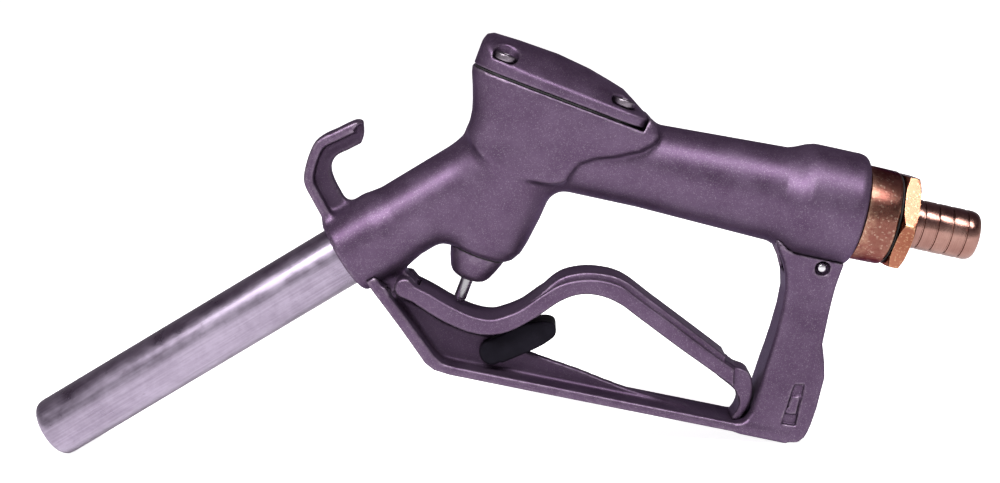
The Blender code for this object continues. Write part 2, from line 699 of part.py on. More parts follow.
TIP_LOW = (
    -SPOUT_END * math.cos(SPOUT_ANGLE) + SPOUT_R * math.sin(SPOUT_ANGLE),
    -SPOUT_END * math.sin(SPOUT_ANGLE) - SPOUT_R * math.cos(SPOUT_ANGLE),
)
STANCE = math.atan2(HEEL[1] - TIP_LOW[1], HEEL[0] - TIP_LOW[0])
HANDLE = frame_empty("handle_frame", None, Matrix.Rotation(STANCE, 4, "Y"))
VALVE = frame_empty(
    "valve_frame", HANDLE,
    Matrix.Translation((VALVE_X * MM, 0, 0)) @ Matrix.Rotation(VALVE_LEAN, 4, "Y"),
)
VALVE_MOVE = frame_empty("valve_slide", VALVE, Matrix.Identity(4))
SPOUT = frame_empty(
    "spout_frame", HANDLE, Matrix.Rotation(-(math.pi / 2 + SPOUT_ANGLE), 4, "Y")
)
TRIGGER = frame_empty(
    "trigger_pivot", HANDLE, Matrix.Translation((PIVOT[0] * MM, 0, PIVOT[1] * MM))
)
LATCH = frame_empty(
    "latch_pivot", HANDLE, Matrix.Translation((LATCH_PIVOT[0] * MM, 0, LATCH_PIVOT[1] * MM))
)
SWIVEL = frame_empty("swivel_axis", HANDLE, Matrix.Identity(4))

make_body()
make_spout()
make_cap()
make_gasket()
make_cap_screws()
make_valve()
make_lever()
make_guard()
make_latch()
make_swivel()
ground(HANDLE)
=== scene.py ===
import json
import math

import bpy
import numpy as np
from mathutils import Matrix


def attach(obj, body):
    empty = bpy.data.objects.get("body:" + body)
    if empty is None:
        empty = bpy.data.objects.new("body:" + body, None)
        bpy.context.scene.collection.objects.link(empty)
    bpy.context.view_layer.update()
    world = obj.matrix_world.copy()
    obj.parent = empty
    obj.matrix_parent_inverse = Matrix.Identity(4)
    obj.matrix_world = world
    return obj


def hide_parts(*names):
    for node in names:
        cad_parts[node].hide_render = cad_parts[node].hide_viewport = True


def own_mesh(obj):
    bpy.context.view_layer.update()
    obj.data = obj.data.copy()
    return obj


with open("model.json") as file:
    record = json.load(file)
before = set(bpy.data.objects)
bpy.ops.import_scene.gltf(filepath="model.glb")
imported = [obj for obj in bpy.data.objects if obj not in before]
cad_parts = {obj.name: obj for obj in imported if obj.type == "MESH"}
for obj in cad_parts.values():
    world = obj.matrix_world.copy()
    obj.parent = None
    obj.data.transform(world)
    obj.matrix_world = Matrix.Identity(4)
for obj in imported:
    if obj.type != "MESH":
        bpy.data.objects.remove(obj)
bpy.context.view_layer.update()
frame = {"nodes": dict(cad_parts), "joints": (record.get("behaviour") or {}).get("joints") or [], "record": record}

# Manual fuel nozzle: finished surfaces, finishes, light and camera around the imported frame.
# Shapes are worked out in millimetres in the handle frame: origin where the handle axis meets
# the spout axis, X along the handle towards the hose, Y across, Z up and square to the handle.
# Cast pieces are distance fields: a function gives each point's distance to the surface,
# negative inside; joining two of them with a smooth minimum makes the soft fillets of a
# casting, and skin() turns the field into a closed mesh.

MM = 0.001

# ------------------------------------------------------------------ frames
SWIVEL_X = 127.0
JOINTS = {joint["name"]: joint for joint in frame["joints"]}
HANDLE_AXIS = np.array(JOINTS["hose_swivel"]["axis"], float)
HANDLE_UP = np.array([-HANDLE_AXIS[2], 0.0, HANDLE_AXIS[0]])
HANDLE_ORIGIN = np.array(JOINTS["hose_swivel"]["pos_m"], float) - SWIVEL_X * MM * HANDLE_AXIS

SPOUT_ANGLE = math.radians(43.3)
VALVE_LEAN = math.radians(8.45)
VALVE_X = -5.6
SPOUT_WAY = np.array([-math.cos(SPOUT_ANGLE), -math.sin(SPOUT_ANGLE)])
VALVE_WAY = np.array([math.sin(VALVE_LEAN), math.cos(VALVE_LEAN)])

PIVOT = (-38.0, -67.0)
GUARD_PIN = (-46.0, -70.8)
REAR_PIN = (121.6, -23.9)
LATCH_PIVOT = (1.5, -86.2)
SEAM_W = 21.3
CAP_EDGE_W = 26.3
CAP_HALF = 21.0
OVAL_POWERS = (3.6, 9.0)
SCREW_SPOTS = ((-16.8, -15.0), (-16.8, 15.0), (32.0, -15.0), (32.0, 15.0))
FRONT_COLLAR_R = 17.05
COLLAR_R = 22.7
HEX_START = 145.3
HEX_END = 151.3
HEX_FLATS = 36.0
HEX_TURN = 32.0
BARB_R = 9.9
BARB_END = 179.2
PIN_HOLE_R = 1.7
PIVOT_HOLE_R = 2.2
GUARD_ROOM = 0.35
SCREW_HEAD_W = 28.6
SCREW_HEAD_R = 4.2
SCREW_SHANK_R = 2.4


def to_world(points):
    """Handle-frame millimetres to metres in the object's frame: origin + X along + Z up."""
    x, y, z = np.asarray(points, float).T
    found = HANDLE_ORIGIN + MM * (x[:, None] * HANDLE_AXIS + z[:, None] * HANDLE_UP)
    found[:, 1] += MM * y
    return found


def spout_coords(x, z):
    """(distance down the spout axis, height over it) in the centre plane."""
    return (x * SPOUT_WAY[0] + z * SPOUT_WAY[1], -x * SPOUT_WAY[1] + z * SPOUT_WAY[0])


def valve_coords(x, z):
    """(u across the valve axis, w up it) in the centre plane."""
    x = x - VALVE_X
    return (x * VALVE_WAY[1] - z * VALVE_WAY[0], x * VALVE_WAY[0] + z * VALVE_WAY[1])


# ------------------------------------------------------------------ distance fields
def outline_distance(px, pz, outline):
    """Signed distance to a closed outline: the least distance to an edge, negative where a
    ray towards +X crosses the outline an odd number of times."""
    corners = np.asarray(outline, float)
    shape = np.broadcast(px, pz).shape
    best = np.full(shape, 1e9)
    inside = np.zeros(shape, bool)
    for (ax, az), (bx, bz) in zip(np.roll(corners, 1, axis=0), corners):
        ex, ez = bx - ax, bz - az
        length = ex * ex + ez * ez
        if length < 1e-12:
            continue
        wx, wz = px - ax, pz - az
        along = np.clip((wx * ex + wz * ez) / length, 0.0, 1.0)
        best = np.minimum(best, (wx - ex * along) ** 2 + (wz - ez * along) ** 2)
        if az != bz:
            inside ^= ((az > pz) != (bz > pz)) & (px < ex * wz / ez + ax)
    return np.where(inside, -1.0, 1.0) * np.sqrt(best)


def turned_field(outline):
    """Distance to a profile of (height, radius) pairs turned about its axis, read by
    straight-line interpolation from a table on a fine sheet of heights and radii. The
    profile is closed by its own mirror image below the axis."""
    points = list(outline) + [(h, -r) for h, r in reversed(outline)]
    step, margin, reach = 0.3, 30.0, 60.0
    heights = [h for h, r in points]
    low = min(heights) - margin
    across = np.arange(low, max(heights) + margin, step)
    out = np.arange(0.0, reach, step)
    table = outline_distance(across[:, None], out[None, :], points)

    def field(h, r):
        i = np.clip((h - low) / step, 0, len(across) - 1.001)
        j = np.clip(r / step, 0, len(out) - 1.001)
        i, j = np.broadcast_arrays(i, j)
        a, b = i.astype(int), j.astype(int)
        s, t = i - a, j - b
        return ((table[a, b] * (1 - s) + table[a + 1, b] * s) * (1 - t)
                + (table[a, b + 1] * (1 - s) + table[a + 1, b + 1] * s) * t)

    return field


def join(a, b, soft):
    """Smooth minimum: the two shapes together, with a fillet about as wide as soft."""
    h = np.maximum(soft - np.abs(a - b), 0.0)
    return np.minimum(a, b) - h * h / (4 * soft)


def meet(a, b, soft):
    """Smooth maximum: what two shapes share, with an edge rounded by about soft."""
    return -join(-a, -b, soft)


def cut(a, b, soft):
    """Shape a without shape b, the edge rounded by about soft."""
    return meet(a, -b, soft)


def carried(flat, y, half, rounding):
    """A flat outline's distance carried across Y from -half to half, edges rounded."""
    a = flat + rounding
    b = np.abs(y) - half + rounding
    return (np.minimum(np.maximum(a, b), 0.0)
            + np.sqrt(np.maximum(a, 0) ** 2 + np.maximum(b, 0) ** 2) - rounding)


def block(x, y, z, low, high, rounding):
    """A box between two corners, its edges rounded."""
    parts = [np.abs(v - (a + b) / 2) - (b - a) / 2 + rounding
             for v, a, b in zip((x, y, z), low, high)]
    outside = sum(np.maximum(p, 0.0) ** 2 for p in parts)
    inside = np.minimum(np.maximum(np.maximum(parts[0], parts[1]), parts[2]), 0.0)
    return inside + np.sqrt(outside) - rounding


def cross_hole(x, z, spot, radius):
    """A round hole or pin across the object, as a distance in the centre plane."""
    return np.hypot(x - spot[0], z - spot[1]) - radius


def oblong(u, y, low, high, half, powers):
    """Distance, taken along a ray from its middle, to a rounded oblong
    |u/a|^power + |y/b|^power = 1, with one power for each half along u."""
    a = (high - low) / 2
    ux = u - (high + low) / 2
    power = np.where(ux < 0, *powers)
    q = (np.abs(ux / a) ** power + np.abs(y / half) ** power) ** (1 / power)
    return np.hypot(ux, y) * (1 - 1 / np.maximum(q, 1e-3))


# ------------------------------------------------------------------ mesh from a field
CORNERS = np.array([[i, j, k] for i in (0, 1) for j in (0, 1) for k in (0, 1)])


def skin(name, field, low, high, step, polish=3):
    """A closed mesh of field = 0. Points stand on a lattice step apart. Each lattice cell
    whose corners differ in sign holds one vertex, at the mean of the points where its edges
    cross zero; each lattice edge that crosses zero makes one face from the four cells
    round it. Then each vertex moves along the field's slope on to the surface."""
    axes = [np.arange(a, b + step, step) for a, b in zip(low, high)]
    x, y, z = axes[0][:, None, None], axes[1][None, :, None], axes[2][None, None, :]
    size = tuple(len(a) for a in axes)
    d = np.broadcast_to(field(x, y, z), size)
    d = np.where(np.abs(d) < 1e-5, 1e-5, d)
    inside = d < 0
    cells = tuple(n - 1 for n in size)
    full = np.zeros(cells, np.int8)
    for i, j, k in CORNERS:
        full += inside[i:i + cells[0], j:j + cells[1], k:k + cells[2]]
    active = np.argwhere((full > 0) & (full < 8))
    index = np.full(cells, -1, np.int64)
    index[tuple(active.T)] = np.arange(len(active))
    total = np.zeros((len(active), 3))
    hits = np.zeros(len(active))
    for axis in range(3):
        way = np.eye(3, dtype=int)[axis]
        for corner in CORNERS[CORNERS[:, axis] == 0]:
            at = active + corner
            a = d[tuple(at.T)]
            b = d[tuple((at + way).T)]
            crosses = (a < 0) != (b < 0)
            share = np.where(crosses, a / np.where(crosses, a - b, 1.0), 0.0)
            total += np.where(crosses[:, None], at + share[:, None] * way, 0.0)
            hits += crosses
    points = np.array(low) + step * total / hits[:, None]
    faces = []
    for axis in range(3):
        way = np.eye(3, dtype=int)[axis]
        second, third = np.roll(way, 1), np.roll(way, 2)
        low_side = tuple(slice(0, n - w) for n, w in zip(size, way))
        high_side = tuple(slice(w, n) for n, w in zip(size, way))
        here, there = inside[low_side], inside[high_side]
        at = np.argwhere(here != there)
        outward = here[tuple(at.T)]
        ring = [index[tuple((at - a * second - b * third).T)]
                for a, b in ((1, 1), (0, 1), (0, 0), (1, 0))]
        quad = np.stack(ring, axis=1)
        quad[~outward] = quad[~outward][:, ::-1]
        faces.append(quad)
    for _ in range(polish):
        points = points + slope_step(field, points, step)
    return mesh_piece(name, points, np.concatenate(faces).tolist())


def slope_step(field, points, step):
    """The move that brings each point to the surface: -distance times slope over slope
    squared, with the slope from central differences, and no longer than half a cell."""
    reach = 0.25 * step

    def value(p):
        return field(p[:, 0], p[:, 1], p[:, 2])

    slope = np.stack([(value(points + reach * e) - value(points - reach * e)) / (2 * reach)
                      for e in np.eye(3)], axis=1)
    size = np.maximum((slope ** 2).sum(1), 0.05)
    move = -(value(points) / size)[:, None] * slope
    length = np.linalg.norm(move, axis=1, keepdims=True)
    return move * np.minimum(1.0, 0.5 * step / np.maximum(length, 1e-9))


def mesh_piece(name, points, faces, sharp=None):
    """A smooth closed mesh object from points in handle-frame millimetres, its place in its
    mesh, its faces turned round if they enclose a negative volume. Edges that turn by more
    than sharp degrees stay sharp."""
    mesh = bpy.data.meshes.new(name)
    mesh.from_pydata(to_world(points).tolist(), [], faces)
    mesh.update()
    mesh.calc_loop_triangles()
    places = np.empty(len(mesh.vertices) * 3)
    mesh.vertices.foreach_get("co", places)
    corners = np.empty(len(mesh.loop_triangles) * 3, np.int32)
    mesh.loop_triangles.foreach_get("vertices", corners)
    if np.linalg.det(places.reshape(-1, 3)[corners.reshape(-1, 3)]).sum() < 0:
        mesh.flip_normals()
    mesh.polygons.foreach_set("use_smooth", np.ones(len(mesh.polygons), bool))
    mesh.update()
    if sharp is not None:
        mesh.set_sharp_from_angle(angle=math.radians(sharp))
    obj = bpy.data.objects.new(name, mesh)
    bpy.context.scene.collection.objects.link(obj)
    return obj


# ------------------------------------------------------------------ turned pieces
def turned_piece(name, profile, place, steps=128, limit=None, sharp=38.0):
    """A profile of (height, radius) pairs carried round an axis:
    point = height along it + radius * (cos, sin). place gives the handle-frame point.
    limit(angle) is the greatest radius at an angle, as on a hexagon. A profile that starts
    and ends on the axis is closed by a pole at each end; any other joins its end to its
    start. Edges that turn by more than sharp degrees stay sharp."""
    h, r = np.asarray(profile, float).T
    closed = r[0] > 0
    if not closed:
        tips, h, r = h[[0, -1]], h[1:-1], r[1:-1]
    angle = 2 * np.pi * np.arange(steps) / steps
    radius = np.repeat(r[:, None], steps, axis=1)
    if limit is not None:
        radius = np.minimum(radius, limit(angle)[None, :])
    rows = len(h)
    points = place(np.repeat(h, steps), (radius * np.cos(angle)).ravel(),
                   (radius * np.sin(angle)).ravel())
    at = np.arange(rows * steps).reshape(rows, steps)
    if closed:
        at = np.vstack([at, at[:1]])
    nxt = np.roll(at, -1, axis=1)
    faces = np.stack([at[:-1], nxt[:-1], nxt[1:], at[1:]], axis=2).reshape(-1, 4).tolist()
    if not closed:
        points = np.vstack([points, place(tips, np.zeros(2), np.zeros(2))])
        n = rows * steps
        faces += [[n, b, a] for a, b in zip(at[0].tolist(), nxt[0].tolist())]
        faces += [[n + 1, a, b] for a, b in zip(at[-1].tolist(), nxt[-1].tolist())]
    return mesh_piece(name, points, faces, sharp)


def coil_piece(name, radius, wire, low, high, turns, steps=240, sides=12, sharp=38.0):
    """A helix of round wire: its centre is radius * (cos a, sin a) at a height that rises
    evenly, the wire's rim is wire * (cos b outwards, sin b upwards) from there, and a flat
    face closes each end."""
    rise = np.linspace(0, 1, steps)
    a, b = np.meshgrid(2 * np.pi * turns * rise, 2 * np.pi * np.arange(sides) / sides,
                       indexing="ij")
    reach = radius + wire * np.cos(b)
    height = low + (high - low) * rise[:, None] + wire * np.sin(b)
    points = along_valve()(height.ravel(), (reach * np.cos(a)).ravel(),
                           (reach * np.sin(a)).ravel())
    at = np.arange(steps * sides).reshape(steps, sides)
    nxt = np.roll(at, -1, axis=1)
    faces = np.stack([at[:-1], at[1:], nxt[1:], nxt[:-1]], axis=2).reshape(-1, 4).tolist()
    faces += [at[0].tolist(), at[-1][::-1].tolist()]
    return mesh_piece(name, points, faces, sharp)


def along_handle(h, a, b):
    """h along the handle, a up and b across: (h, b, a)."""
    return np.stack([h, b, a], axis=1)


def along_spout(h, a, b):
    """h down the spout's axis, a square to it in the centre plane and b across."""
    return np.stack([h * SPOUT_WAY[0] - a * SPOUT_WAY[1], b,
                     h * SPOUT_WAY[1] + a * SPOUT_WAY[0]], axis=1)


def along_valve(u0=0.0, y0=0.0):
    """A turned piece's axis stands along the valve, u0 and y0 away from it."""
    def place(h, a, b):
        u, y = a + u0, b + y0
        return np.stack([VALVE_X + u * VALVE_WAY[1] + h * VALVE_WAY[0], y,
                         -u * VALVE_WAY[0] + h * VALVE_WAY[1]], axis=1)
    return place


def across(spot):
    """A turned piece's axis runs across the object through spot: spot + (a, b), h across."""
    def place(h, a, b):
        return np.stack([spot[0] + a, h, spot[1] + b], axis=1)
    return place


def curved(points, per=6):
    """An open Catmull-Rom curve through points, as an array."""
    p = np.asarray(points, float)
    p = np.vstack([p[:1], p, p[-1:]])
    t = (np.arange(per) / per)[None, :, None]
    a, b, c, d = (p[i:len(p) - 3 + i][:, None, :] for i in range(4))
    found = 0.5 * (2 * b + (c - a) * t + (2 * a - 5 * b + 4 * c - d) * t ** 2
                   + (3 * b - a - 3 * c + d) * t ** 3)
    return np.vstack([found.reshape(-1, p.shape[1]), p[-2:-1]])


def round_arc(spot, radius, start, end, count=12):
    """spot + radius * (cos, sin) from start to end degrees, as an array."""
    a = np.radians(np.linspace(start, end, count + 1))
    return np.stack([spot[0] + radius * np.cos(a), spot[1] + radius * np.sin(a)], axis=1)


# ------------------------------------------------------------------ nozzle casting
HANDLE_PROFILE = [(12.0, 0.0), (12.0, 16.9), (45.0, 16.9), (98.8, 19.0), (101.8, 20.0),
                  (105.6, 21.7), (108.6, 22.6), (110.5, COLLAR_R), (127.6, COLLAR_R),
                  (129.4, 22.2), (130.5, 21.2), (130.9, 20.0), (130.9, 0.0)]
FRONT_PROFILE = [(4.0, 0.0), (4.0, 15.65), (62.0, 15.65), (66.0, 16.3), (69.0, 16.95),
                 (70.5, FRONT_COLLAR_R), (87.4, FRONT_COLLAR_R), (88.4, 16.6), (88.8, 15.8),
                 (88.8, 0.0)]
LOWER_CHAMBER = [(-48.6, 0.0), (-48.6, 12.0), (-46.8, 14.3), (-43.0, 16.4), (-38.0, 17.4),
                 (-27.0, 18.6), (-16.0, 19.2), (-4.0, 19.0), (0.0, 0.0)]
CHAMBER_W = (-14.0, -5.0, 0.9, 4.6, 8.4, 13.6, 18.2, 21.2, 26.3, 30.0)
CHAMBER_LOW = (-21.0, -21.2, -21.4, -22.0, -23.2, -25.2, -27.2, -28.0, -28.0, -28.0)
CHAMBER_HIGH = (22.6, 23.2, 25.6, 30.4, 38.0, 45.8, 49.4, 50.0, 46.6, 44.0)
CHAMBER_HALF = (20.2, 20.4, 20.5, 20.6, 20.9, 21.3, 21.5, 21.5, 21.0, 20.6)
CHAMBER_SIDE = [(-34.0, 40.0), (-34.0, 12.0), (-27.0, 2.0), (-22.6, -4.6), (-18.4, -6.9),
                (-13.5, -9.9), (-6.8, -12.4), (0.9, -13.2), (8.8, -12.4), (16.5, -11.0),
                (22.6, -8.6), (24.4, -6.2), (25.0, -2.0), (40.0, 4.0), (58.0, 10.0),
                (58.0, 40.0)]
HOOK_OUTER = ((-72.5, -54.0), (-75.0, -48.5), (-80.4, -41.8), (-85.0, -36.0),
              (-86.3, -31.5), (-86.0, -25.0), (-84.6, -19.0), (-82.0, -15.5),
              (-77.2, -11.9), (-73.0, -8.6), (-70.1, -6.9), (-68.0, -7.6),
              (-66.8, -11.5), (-67.1, -15.3))
HOOK_INNER = ((-71.5, -18.9), (-75.4, -22.0), (-77.0, -25.6), (-76.5, -29.0),
              (-74.5, -32.4), (-72.1, -35.4), (-69.0, -38.6), (-63.0, -42.0))


def hook_outlines():
    """The hook's web outline, and the band along the inside of its outer edge, which stops
    short of the hook's tip."""
    band, short = 3.8, 14
    outer = curved(HOOK_OUTER)
    web = np.vstack([outer, curved(HOOK_INNER)])
    along = np.gradient(outer, axis=0)
    along /= np.linalg.norm(along, axis=1, keepdims=True)
    inner = outer + band * np.stack([along[:, 1], -along[:, 0]], axis=1)
    keep = len(outer) - short
    return web, np.vstack([outer[:keep], inner[:keep][::-1]])


def lug_outline():
    """The pivot lug below the front tube, round both pins."""
    return np.vstack([[(-58.0, -57.0), (-52.5, -68.0)], round_arc(GUARD_PIN, 3.4, 190, 330),
                      round_arc(PIVOT, 4.2, 215, 385),
                      [(-40.6, -61.0), (-43.6, -55.0), (-46.5, -48.0)]])


handle_shape = turned_field(HANDLE_PROFILE)
front_shape = turned_field(FRONT_PROFILE)
lower_shape = turned_field(LOWER_CHAMBER)
valve_bore = turned_field([(-53.0, 0.0), (-53.0, 9.3), (-41.0, 9.3), (-41.0, 11.0),
                           (5.0, 11.0), (5.0, 12.6), (26.0, 12.6), (26.0, 0.0)])
thread_bore = turned_field([(98.0, 0.0), (98.0, 11.5), (108.8, 11.5), (108.8, 17.2),
                            (129.7, 17.2), (131.1, 18.6), (138.0, 18.6), (138.0, 0.0)])
socket_bore = turned_field([(62.0, 0.0), (62.0, 12.8), (69.6, 12.8), (69.6, 14.5),
                            (72.4, 14.5), (72.4, 12.8), (96.0, 12.8), (96.0, 0.0)])
HOOK_WEB, HOOK_RIM = hook_outlines()
LUG = lug_outline()
REAR_LUG = [(110.0, -18.0), (110.0, -26.0), (114.0, -28.8), (126.0, -28.8), (129.2, -25.8),
            (129.2, -18.0)]


def chamber_field(u, y, w):
    """The flared valve chamber: a rounded oblong that widens with height w, closed below
    along its swept lower edge, with a seat cut out for the cap and a nose left beyond it."""
    sides = oblong(u, y, np.interp(w, CHAMBER_W, CHAMBER_LOW),
                   np.interp(w, CHAMBER_W, CHAMBER_HIGH),
                   np.interp(w, CHAMBER_W, CHAMBER_HALF), OVAL_POWERS)
    chamber = meet(0.9 * sides, outline_distance(u, w, CHAMBER_SIDE), 3.0)
    chamber = meet(chamber, w - CAP_EDGE_W + 0.45 * np.maximum(u - 44.0, 0.0), 1.6)
    room = oblong(u, y, -34.0, 43.6, 25.0, OVAL_POWERS)
    return cut(chamber, np.maximum(0.9 * room, SEAM_W - 0.3 - w), 0.6)


def casting_field(x, y, z):
    """Handle, front tube, chambers, hook and lugs joined with cast fillets, less the bores."""
    u, w = valve_coords(x, z)
    s, n = spout_coords(x, z)
    around_valve = np.hypot(u, y)
    around_spout = np.hypot(n, y)
    around_handle = np.hypot(y, z)
    handle = handle_shape(x, around_handle)
    front = front_shape(s, around_spout)
    body = join(handle, lower_shape(w, around_valve), 7.0)
    body = join(body, front, 7.0)
    body = join(body, chamber_field(u, y, w), 2.6)
    hook = join(carried(outline_distance(x, z, HOOK_WEB), y, 3.0, 0.8),
                carried(outline_distance(x, z, HOOK_RIM), y, 7.6, 1.0), 2.0)
    body = join(body, hook, 3.0)
    body = join(body, carried(outline_distance(x, z, LUG), y, 5.0, 0.6), 2.5)
    body = join(body, carried(outline_distance(x, z, REAR_LUG), y, 6.5, 0.6), 1.5)
    body = cut(body, valve_bore(w, around_valve), 0.5)
    body = cut(body, thread_bore(x, around_handle), 0.6)
    body = cut(body, socket_bore(s, around_spout), 0.6)
    pocket = oblong(u, y, -4.0, 33.0, 8.5, (3.0, 3.0))
    body = cut(body, np.maximum(pocket, np.maximum(12.0 - w, w - 24.0)), 0.5)
    for u0, y0 in SCREW_SPOTS:
        hole = np.maximum(np.hypot(u - u0, y - y0) - 2.75, np.abs(w - 20.5) - 4.0)
        body = cut(body, hole, 0.4)
    for spot, radius in ((PIVOT, PIVOT_HOLE_R), (GUARD_PIN, PIN_HOLE_R),
                         (REAR_PIN, PIN_HOLE_R)):
        body = cut(body, cross_hole(x, z, spot, radius), 0.3)
    return body


# ------------------------------------------------------------------ valve cap
CROWN_U = (-28.4, -26.6, -24.3, -14.0, 2.0, 15.5, 25.0, 31.0, 36.0, 40.6, 44.0)
CROWN_W = (31.0, 34.6, 35.9, 36.6, 37.0, 36.0, 34.4, 33.2, 30.8, 28.4, 26.8)


def cap_field(x, y, z):
    """A cover arched across its width: height = edge + (crown - edge) * (1 - |y/half|^1.8),
    on a rounded oblong, with a round recess for each screw."""
    u, w = valve_coords(x, z)
    sides = oblong(u, y, -27.6, 43.0, CAP_HALF, OVAL_POWERS)
    crown = np.interp(u, CROWN_U, CROWN_W)
    arch = 1 - np.clip(np.abs(y) / CAP_HALF, 0, 1) ** 1.8
    top = CAP_EDGE_W + (crown - CAP_EDGE_W) * arch
    cap = meet(0.95 * sides, 0.85 * (w - top + 0.6), 1.2)
    cap = meet(cap, SEAM_W + 0.7 - w, 0.5)
    cap = cut(cap, np.maximum(np.hypot(u, y) - 12.6, w - 30.6), 0.5)
    for u0, y0 in SCREW_SPOTS:
        r = np.hypot(u - u0, y - y0)
        cap = cut(cap, np.maximum(r - 2.8, 15.0 - w), 0.4)
        cap = cut(cap, np.maximum(r - 5.0, 27.0 - w), 0.7)
    return cap


# ------------------------------------------------------------------ trigger guard
RAIL = [(-54.5, -67.0), (-36.3, -83.4), (-26.6, -92.6), (-23.9, -95.2), (-19.8, -97.2),
        (-13.5, -97.8), (124.0, -95.7), (124.0, -92.0), (-13.0, -94.0), (-17.0, -93.6),
        (-20.8, -91.4), (-36.0, -77.6), (-51.6, -63.8)]
GUARD_WEB = [(-44.0, -72.6), (-38.0, -72.9), (-30.0, -75.2), (-20.0, -79.2), (-10.0, -80.8),
             (2.0, -81.0), (16.0, -84.3), (25.5, -85.6), (38.2, -87.2), (47.0, -88.8),
             (56.0, -90.2), (82.0, -92.6), (82.0, -94.5), (-17.0, -95.5), (-24.0, -92.0)]
WINDOW = [(122.0, -71.9), (126.0, -71.0), (126.3, -88.2), (120.4, -88.6)]
WINDOW_BLOCK = [(122.0, -76.8), (125.5, -76.0), (125.6, -83.6), (121.4, -84.4)]
POST_Z = (-95.7, -94.8, -92.5, -90.0, -86.5, -80.0, -67.0, -61.0, -54.0, -44.0, -36.0,
          -30.0, -25.0, -20.0, -15.0)
POST_LOW = (104.0, 103.0, 103.4, 106.2, 107.9, 108.6, 109.4, 109.9, 110.3, 110.5, 110.0,
            108.4, 106.0, 102.4, 99.0)
POST_HIGH = (127.5, 129.4, 131.2, 132.0, 132.6, 133.2, 133.5, 132.0, 129.6, 129.3, 129.2,
             129.2, 129.4, 129.7, 129.9)
POST_HALF = (11.6, 12.4, 12.6, 12.6, 12.5, 12.2, 11.2, 10.8, 10.2, 9.5, 9.0, 9.4, 10.4,
             11.6, 13.0)
handle_room = turned_field([(h, r + GUARD_ROOM if r else 0.0) for h, r in HANDLE_PROFILE])
front_room = turned_field([(h, r + GUARD_ROOM if r else 0.0) for h, r in FRONT_PROFILE[:-2]]
                          + [(96.0, FRONT_COLLAR_R + GUARD_ROOM), (96.0, 0.0)])


def guard_field(x, y, z):
    """Flat flange along the strut and rail, thin web above it, and the broad rear post,
    with room for the lugs, pins and the lever's tongue."""
    s, n = spout_coords(x, z)
    rail = carried(outline_distance(x, z, RAIL), y, 12.5, 1.2)
    web = carried(outline_distance(x, z, GUARD_WEB), y, 2.2, 0.7)
    guard = join(rail, web, 2.6)
    low, high = np.interp(z, POST_Z, POST_LOW), np.interp(z, POST_Z, POST_HIGH)
    post = carried(np.abs(x - (low + high) / 2) - (high - low) / 2, y,
                   np.interp(z, POST_Z, POST_HALF), 2.6)
    post = meet(0.97 * post, np.maximum(-95.7 - z, z + 15.0), 1.6)
    guard = join(guard, post, 2.5)
    ears = meet(cross_hole(x, z, GUARD_PIN, 2.3), np.abs(np.abs(y) - 8.9) - 3.4, 0.8)
    guard = join(guard, ears, 1.0)
    guard = cut(guard, handle_room(x, np.hypot(y, z)), 0.5)
    guard = cut(guard, front_room(s, np.hypot(n, y)), 0.5)
    guard = cut(guard, block(x, y, z, (-62.0, -5.4, -78.0), (-41.0, 5.4, -50.0), 0.3), 0.4)
    guard = cut(guard, block(x, y, z, (95.0, -6.8, -29.2), (140.0, 6.8, -10.0), 0.3), 0.4)
    guard = cut(guard, block(x, y, z, (96.0, -7.8, -92.6), (108.4, 7.8, -78.0), 0.8), 0.5)
    beyond = np.abs(y)
    floor = np.interp(outline_distance(x, z, WINDOW_BLOCK), (-0.2, 0.2), (11.9, 10.4))
    window = np.maximum(outline_distance(x, z, WINDOW), floor - beyond)
    guard = cut(guard, window, 0.3)
    sink = np.maximum(cross_hole(x, z, REAR_PIN, 3.0), 8.1 - beyond)
    guard = cut(guard, sink, 0.4)
    for spot, reach in ((GUARD_PIN, 11.2), (REAR_PIN, 20.0), (LATCH_PIVOT, 20.0)):
        hole = np.maximum(cross_hole(x, z, spot, PIN_HOLE_R), beyond - reach)
        guard = cut(guard, hole, 0.3)
    return guard


# ------------------------------------------------------------------ trigger lever
LEVER_TOP = ((-34.0, -65.4), (-27.7, -67.1), (-18.9, -70.0), (-10.4, -72.0),
             (-3.3, -72.1), (1.4, -70.4), (8.6, -65.6), (15.1, -58.6), (21.7, -52.3),
             (29.1, -48.6), (37.5, -46.9), (46.0, -47.6), (51.5, -50.1), (59.5, -53.8),
             (67.6, -57.4), (81.1, -63.7), (90.1, -67.8), (97.2, -70.8))
LEVER_BOTTOM = ((98.8, -78.2), (87.1, -73.0), (73.7, -67.2), (55.6, -58.9),
                (46.7, -54.9), (38.2, -53.4), (30.4, -54.7), (23.3, -59.2),
                (15.1, -67.9), (6.5, -75.2), (-1.0, -78.4), (-8.8, -79.1),
                (-17.2, -77.7), (-25.0, -75.4), (-34.0, -71.8))
TONGUE = ((92.0, -69.3), (98.5, -70.9), (104.0, -72.0), (106.6, -76.0), (107.6, -81.0),
          (107.3, -85.0), (106.2, -88.8), (104.6, -92.1), (101.8, -92.1),
          (103.1, -88.0), (103.2, -84.8), (101.6, -82.0), (98.8, -79.4), (92.0, -76.0))
STRIP = ((12.5, -62.4), (20.4, -51.4), (28.4, -46.7), (37.5, -44.9), (47.0, -45.8),
         (60.3, -51.9), (82.0, -61.9), (93.6, -67.4))
LEVER_OUTLINE = np.vstack([round_arc(PIVOT, 4.0, 250, 75), curved(LEVER_TOP),
                           curved(LEVER_BOTTOM)])
TONGUE_OUTLINE = curved(TONGUE)
STRIP_OUTLINE = np.vstack([curved(STRIP), [(92.0, -71.0), (60.0, -57.5), (38.0, -50.5),
                                            (18.0, -60.0)]])


